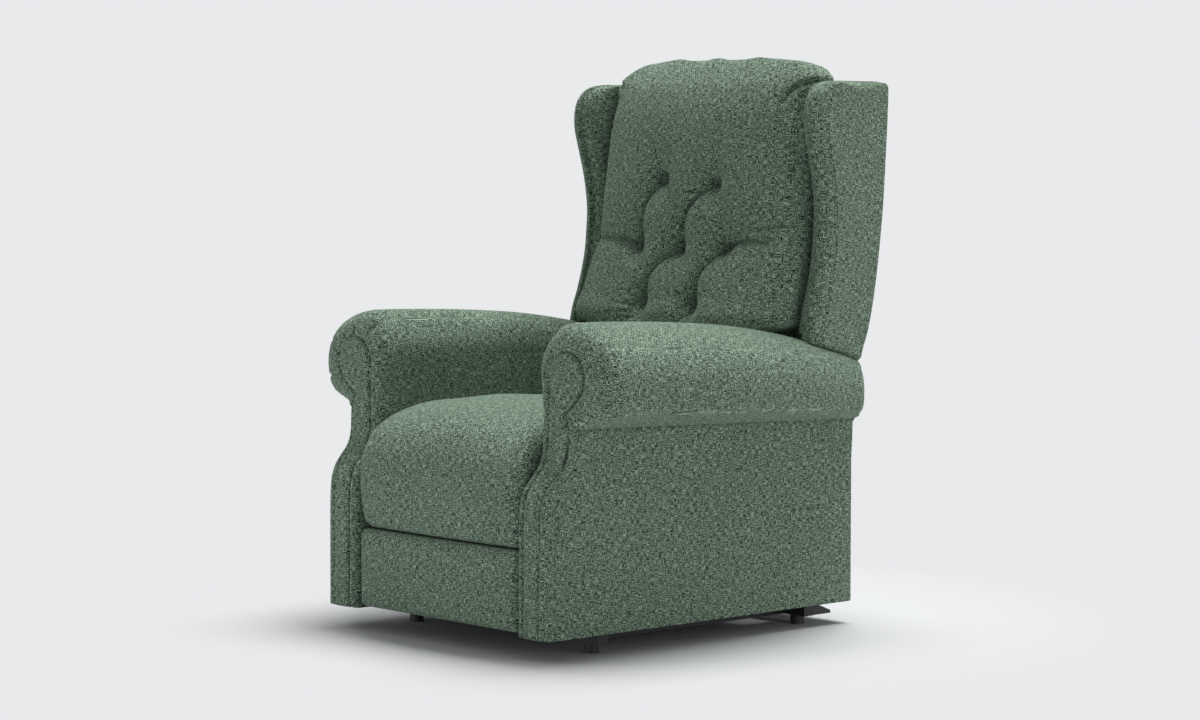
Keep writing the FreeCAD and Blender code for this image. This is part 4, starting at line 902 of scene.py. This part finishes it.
class RECLINER_OT_arms(bpy.types.Operator):
    """Make both arms: padded cover, scroll band and long facing"""

    bl_idname = "recliner.arms"
    bl_label = "Arms"

    def execute(self, context):
        depth = context.scene.recliner_upholstery.pleat_depth
        near, far = facing_grids()
        for name, side in SIDES:
            rings = arm_rings(depth * (0.22 if side > 0 else 1.0))
            skin(name + "_arm", mirrored(rings, side), "seat", FULL,
                 name + "_side_panel", name + "_arm_roll")
            two_faced(name + "_arm_front", mirrored(near, side), mirrored(far, side), "seat", FULL,
                      name + "_arm_facing")
        return {"FINISHED"}


class RECLINER_OT_seat(bpy.types.Operator):
    """Make the seat cushion and the rear valance"""

    bl_idname = "recliner.seat"
    bl_label = "Seat"

    def execute(self, context):
        skin("seat_pad", cushion_rings(context.scene.recliner_upholstery), "seat", SOFTER, "seat_cushion")
        two_faced("rear_skirt", *valance_grids(), "seat", FULL, "rear_valance")
        return {"FINISHED"}


class RECLINER_OT_footrest(bpy.types.Operator):
    """Make the footrest's pad"""

    bl_idname = "recliner.footrest"
    bl_label = "Footrest"

    def execute(self, context):
        skin("leg_pad", footrest_rings(), "footrest_panel", SOFTER, "footrest_pad")
        return {"FINISHED"}


class RECLINER_OT_back(bpy.types.Operator):
    """Make the tufted back cushion, the wings and the outside of the back"""

    bl_idname = "recliner.back"
    bl_label = "Back"

    def execute(self, context):
        skin("tufted_back", back_rings(context.scene.recliner_upholstery), "back", FULL, "back_cushion")
        inner, outer = wing_grids()
        for name, side in SIDES:
            two_faced(name + "_wing_pad", mirrored(inner, side), mirrored(outer, side), "back", FULL,
                      name + "_wing")
        two_faced("back_cover", *outside_back_grids(), "back", FULL, "outside_back")
        skin("top_border", border_rings(), "back", FULL)
        return {"FINISHED"}


class RECLINER_OT_stage(bpy.types.Operator):
    """Make the floor, the lights, the background and the camera"""

    bl_idname = "recliner.stage"
    bl_label = "Stage"

    def execute(self, context):
        studio = context.scene.recliner_studio
        reach, lens, film = 30.0, 95.12, 36.0
        mesh = bpy.data.meshes.new("studio_floor")
        mesh.from_pydata([(-reach, -reach, 0), (reach, -reach, 0), (reach, reach, 0), (-reach, reach, 0)], [],
                         [(0, 1, 2, 3)])
        floor = bpy.data.objects.new("studio_floor", mesh)
        context.scene.collection.objects.link(floor)
        floor.data.materials.append(floor_finish(studio))
        lamp("key_light", (-0.1, 2.1, 7.0), (0.0, 0, 0.5), 4.0, 4.0, studio.key_power)
        lamp("side_light", (3.6, 0.3, 0.6), (0, 0, 0.4), 1.8, 1.0, studio.side_power)
        lamp("fill_light", (-0.5, -2.0, 0.22), (0.1, 0, 0.28), 1.6, 0.4, studio.fill_power)
        background(context.scene, studio)
        eye = bpy.data.cameras.new("camera")
        eye.lens, eye.sensor_width = lens, film
        camera = bpy.data.objects.new("camera", eye)
        camera.location = (4.80084, -4.30793, 0.98563)
        camera.rotation_euler = (math.radians(86.027), 0, math.radians(48.271))
        context.scene.collection.objects.link(camera)
        context.scene.camera = camera
        context.scene.view_settings.view_transform = "Standard"
        return {"FINISHED"}


def lamp(name, place, target, width, height, power):
    """A rectangular lamp that points at a target."""
    light = bpy.data.lights.new(name, "AREA")
    light.shape = "RECTANGLE"
    light.energy, light.size, light.size_y = power, width, height
    made = bpy.data.objects.new(name, light)
    made.location = place
    made.rotation_euler = (Vector(target) - Vector(place)).to_track_quat("-Z", "Y").to_euler()
    bpy.context.scene.collection.objects.link(made)


def floor_finish(studio):
    """A pale matte floor near the chair that turns into the flat backdrop further out."""
    floor = Finish("studio_floor", roughness=0.9)
    floor.shader.inputs["Base Color"].default_value = srgb(204, 205, 207) + (1.0,)
    floor.shader.inputs["Specular IOR Level"].default_value = 0.0
    x, y = floor.axes()[:2]
    distance = (x * x + (y - 0.05) * (y - 0.05)) ** 0.5
    far = floor.spread(distance, 0.55, 1.02)
    seen = floor.node("ShaderNodeLightPath", output="Is Camera Ray")
    for mirror in ("Is Glossy Ray", "Is Transmission Ray"):
        seen = seen.largest(floor.node("ShaderNodeLightPath", output=mirror))
    glow = floor.node("ShaderNodeEmission", {}, {"Color": tuple(studio.backdrop) + (1.0,), "Strength": 1.0})
    lit = Value(floor, floor.shader.outputs[0])
    mixer = floor.node("ShaderNodeMixShader", {}, {0: far * seen, 1: lit, 2: glow})
    output = next(node for node in floor.tree.nodes if node.type == "OUTPUT_MATERIAL")
    floor.tree.links.new(mixer.socket, output.inputs["Surface"])
    return floor.material


def background(scene, studio):
    """The backdrop's colour to the camera and in reflections, and a soft even light elsewhere."""
    world = bpy.data.worlds.new("studio")
    world.use_nodes = True
    tree = world.node_tree
    soft = next(node for node in tree.nodes if node.type == "BACKGROUND")
    soft.inputs["Color"].default_value = (1.0, 1.0, 1.0, 1.0)
    soft.inputs["Strength"].default_value = studio.ambient
    seen = tree.nodes.new("ShaderNodeBackground")
    seen.inputs["Color"].default_value = tuple(studio.backdrop) + (1.0,)
    path = tree.nodes.new("ShaderNodeLightPath")
    shown = path.outputs["Is Camera Ray"]
    for mirror in ("Is Glossy Ray", "Is Transmission Ray"):
        either = tree.nodes.new("ShaderNodeMath")
        either.operation = "MAXIMUM"
        tree.links.new(shown, either.inputs[0])
        tree.links.new(path.outputs[mirror], either.inputs[1])
        shown = either.outputs[0]
    mixer = tree.nodes.new("ShaderNodeMixShader")
    tree.links.new(shown, mixer.inputs[0])
    tree.links.new(soft.outputs[0], mixer.inputs[1])
    tree.links.new(seen.outputs[0], mixer.inputs[2])
    output = next(node for node in tree.nodes if node.type == "OUTPUT_WORLD")
    tree.links.new(mixer.outputs[0], output.inputs["Surface"])
    scene.world = world


class RECLINER_PT_panel(bpy.types.Panel):
    """Lists the steps that make the recliner"""

    bl_label = "Lift recliner"
    bl_idname = "RECLINER_PT_panel"
    bl_space_type = "VIEW_3D"
    bl_region_type = "UI"
    bl_category = "Recliner"

    def draw(self, context):
        for step in STEPS:
            self.layout.operator(step.bl_idname)
        for group in (context.scene.recliner_upholstery, context.scene.recliner_studio):
            for name in group.__annotations__:
                self.layout.prop(group, name)


STEPS = (RECLINER_OT_finishes, RECLINER_OT_arms, RECLINER_OT_seat, RECLINER_OT_footrest, RECLINER_OT_back,
         RECLINER_OT_stage)
CLASSES = (ReclinerUpholstery, ReclinerStudio) + STEPS + (RECLINER_PT_panel,)


def register():
    for item in CLASSES:
        bpy.utils.register_class(item)
    bpy.types.Scene.recliner_upholstery = bpy.props.PointerProperty(type=ReclinerUpholstery)
    bpy.types.Scene.recliner_studio = bpy.props.PointerProperty(type=ReclinerStudio)


def unregister():
    del bpy.types.Scene.recliner_studio
    del bpy.types.Scene.recliner_upholstery
    for item in reversed(CLASSES):
        bpy.utils.unregister_class(item)


def main():
    register()
    bpy.ops.recliner.finishes()
    bpy.ops.recliner.arms()
    bpy.ops.recliner.seat()
    bpy.ops.recliner.footrest()
    bpy.ops.recliner.back()
    bpy.ops.recliner.stage()


if __name__ == "__main__":
    main()
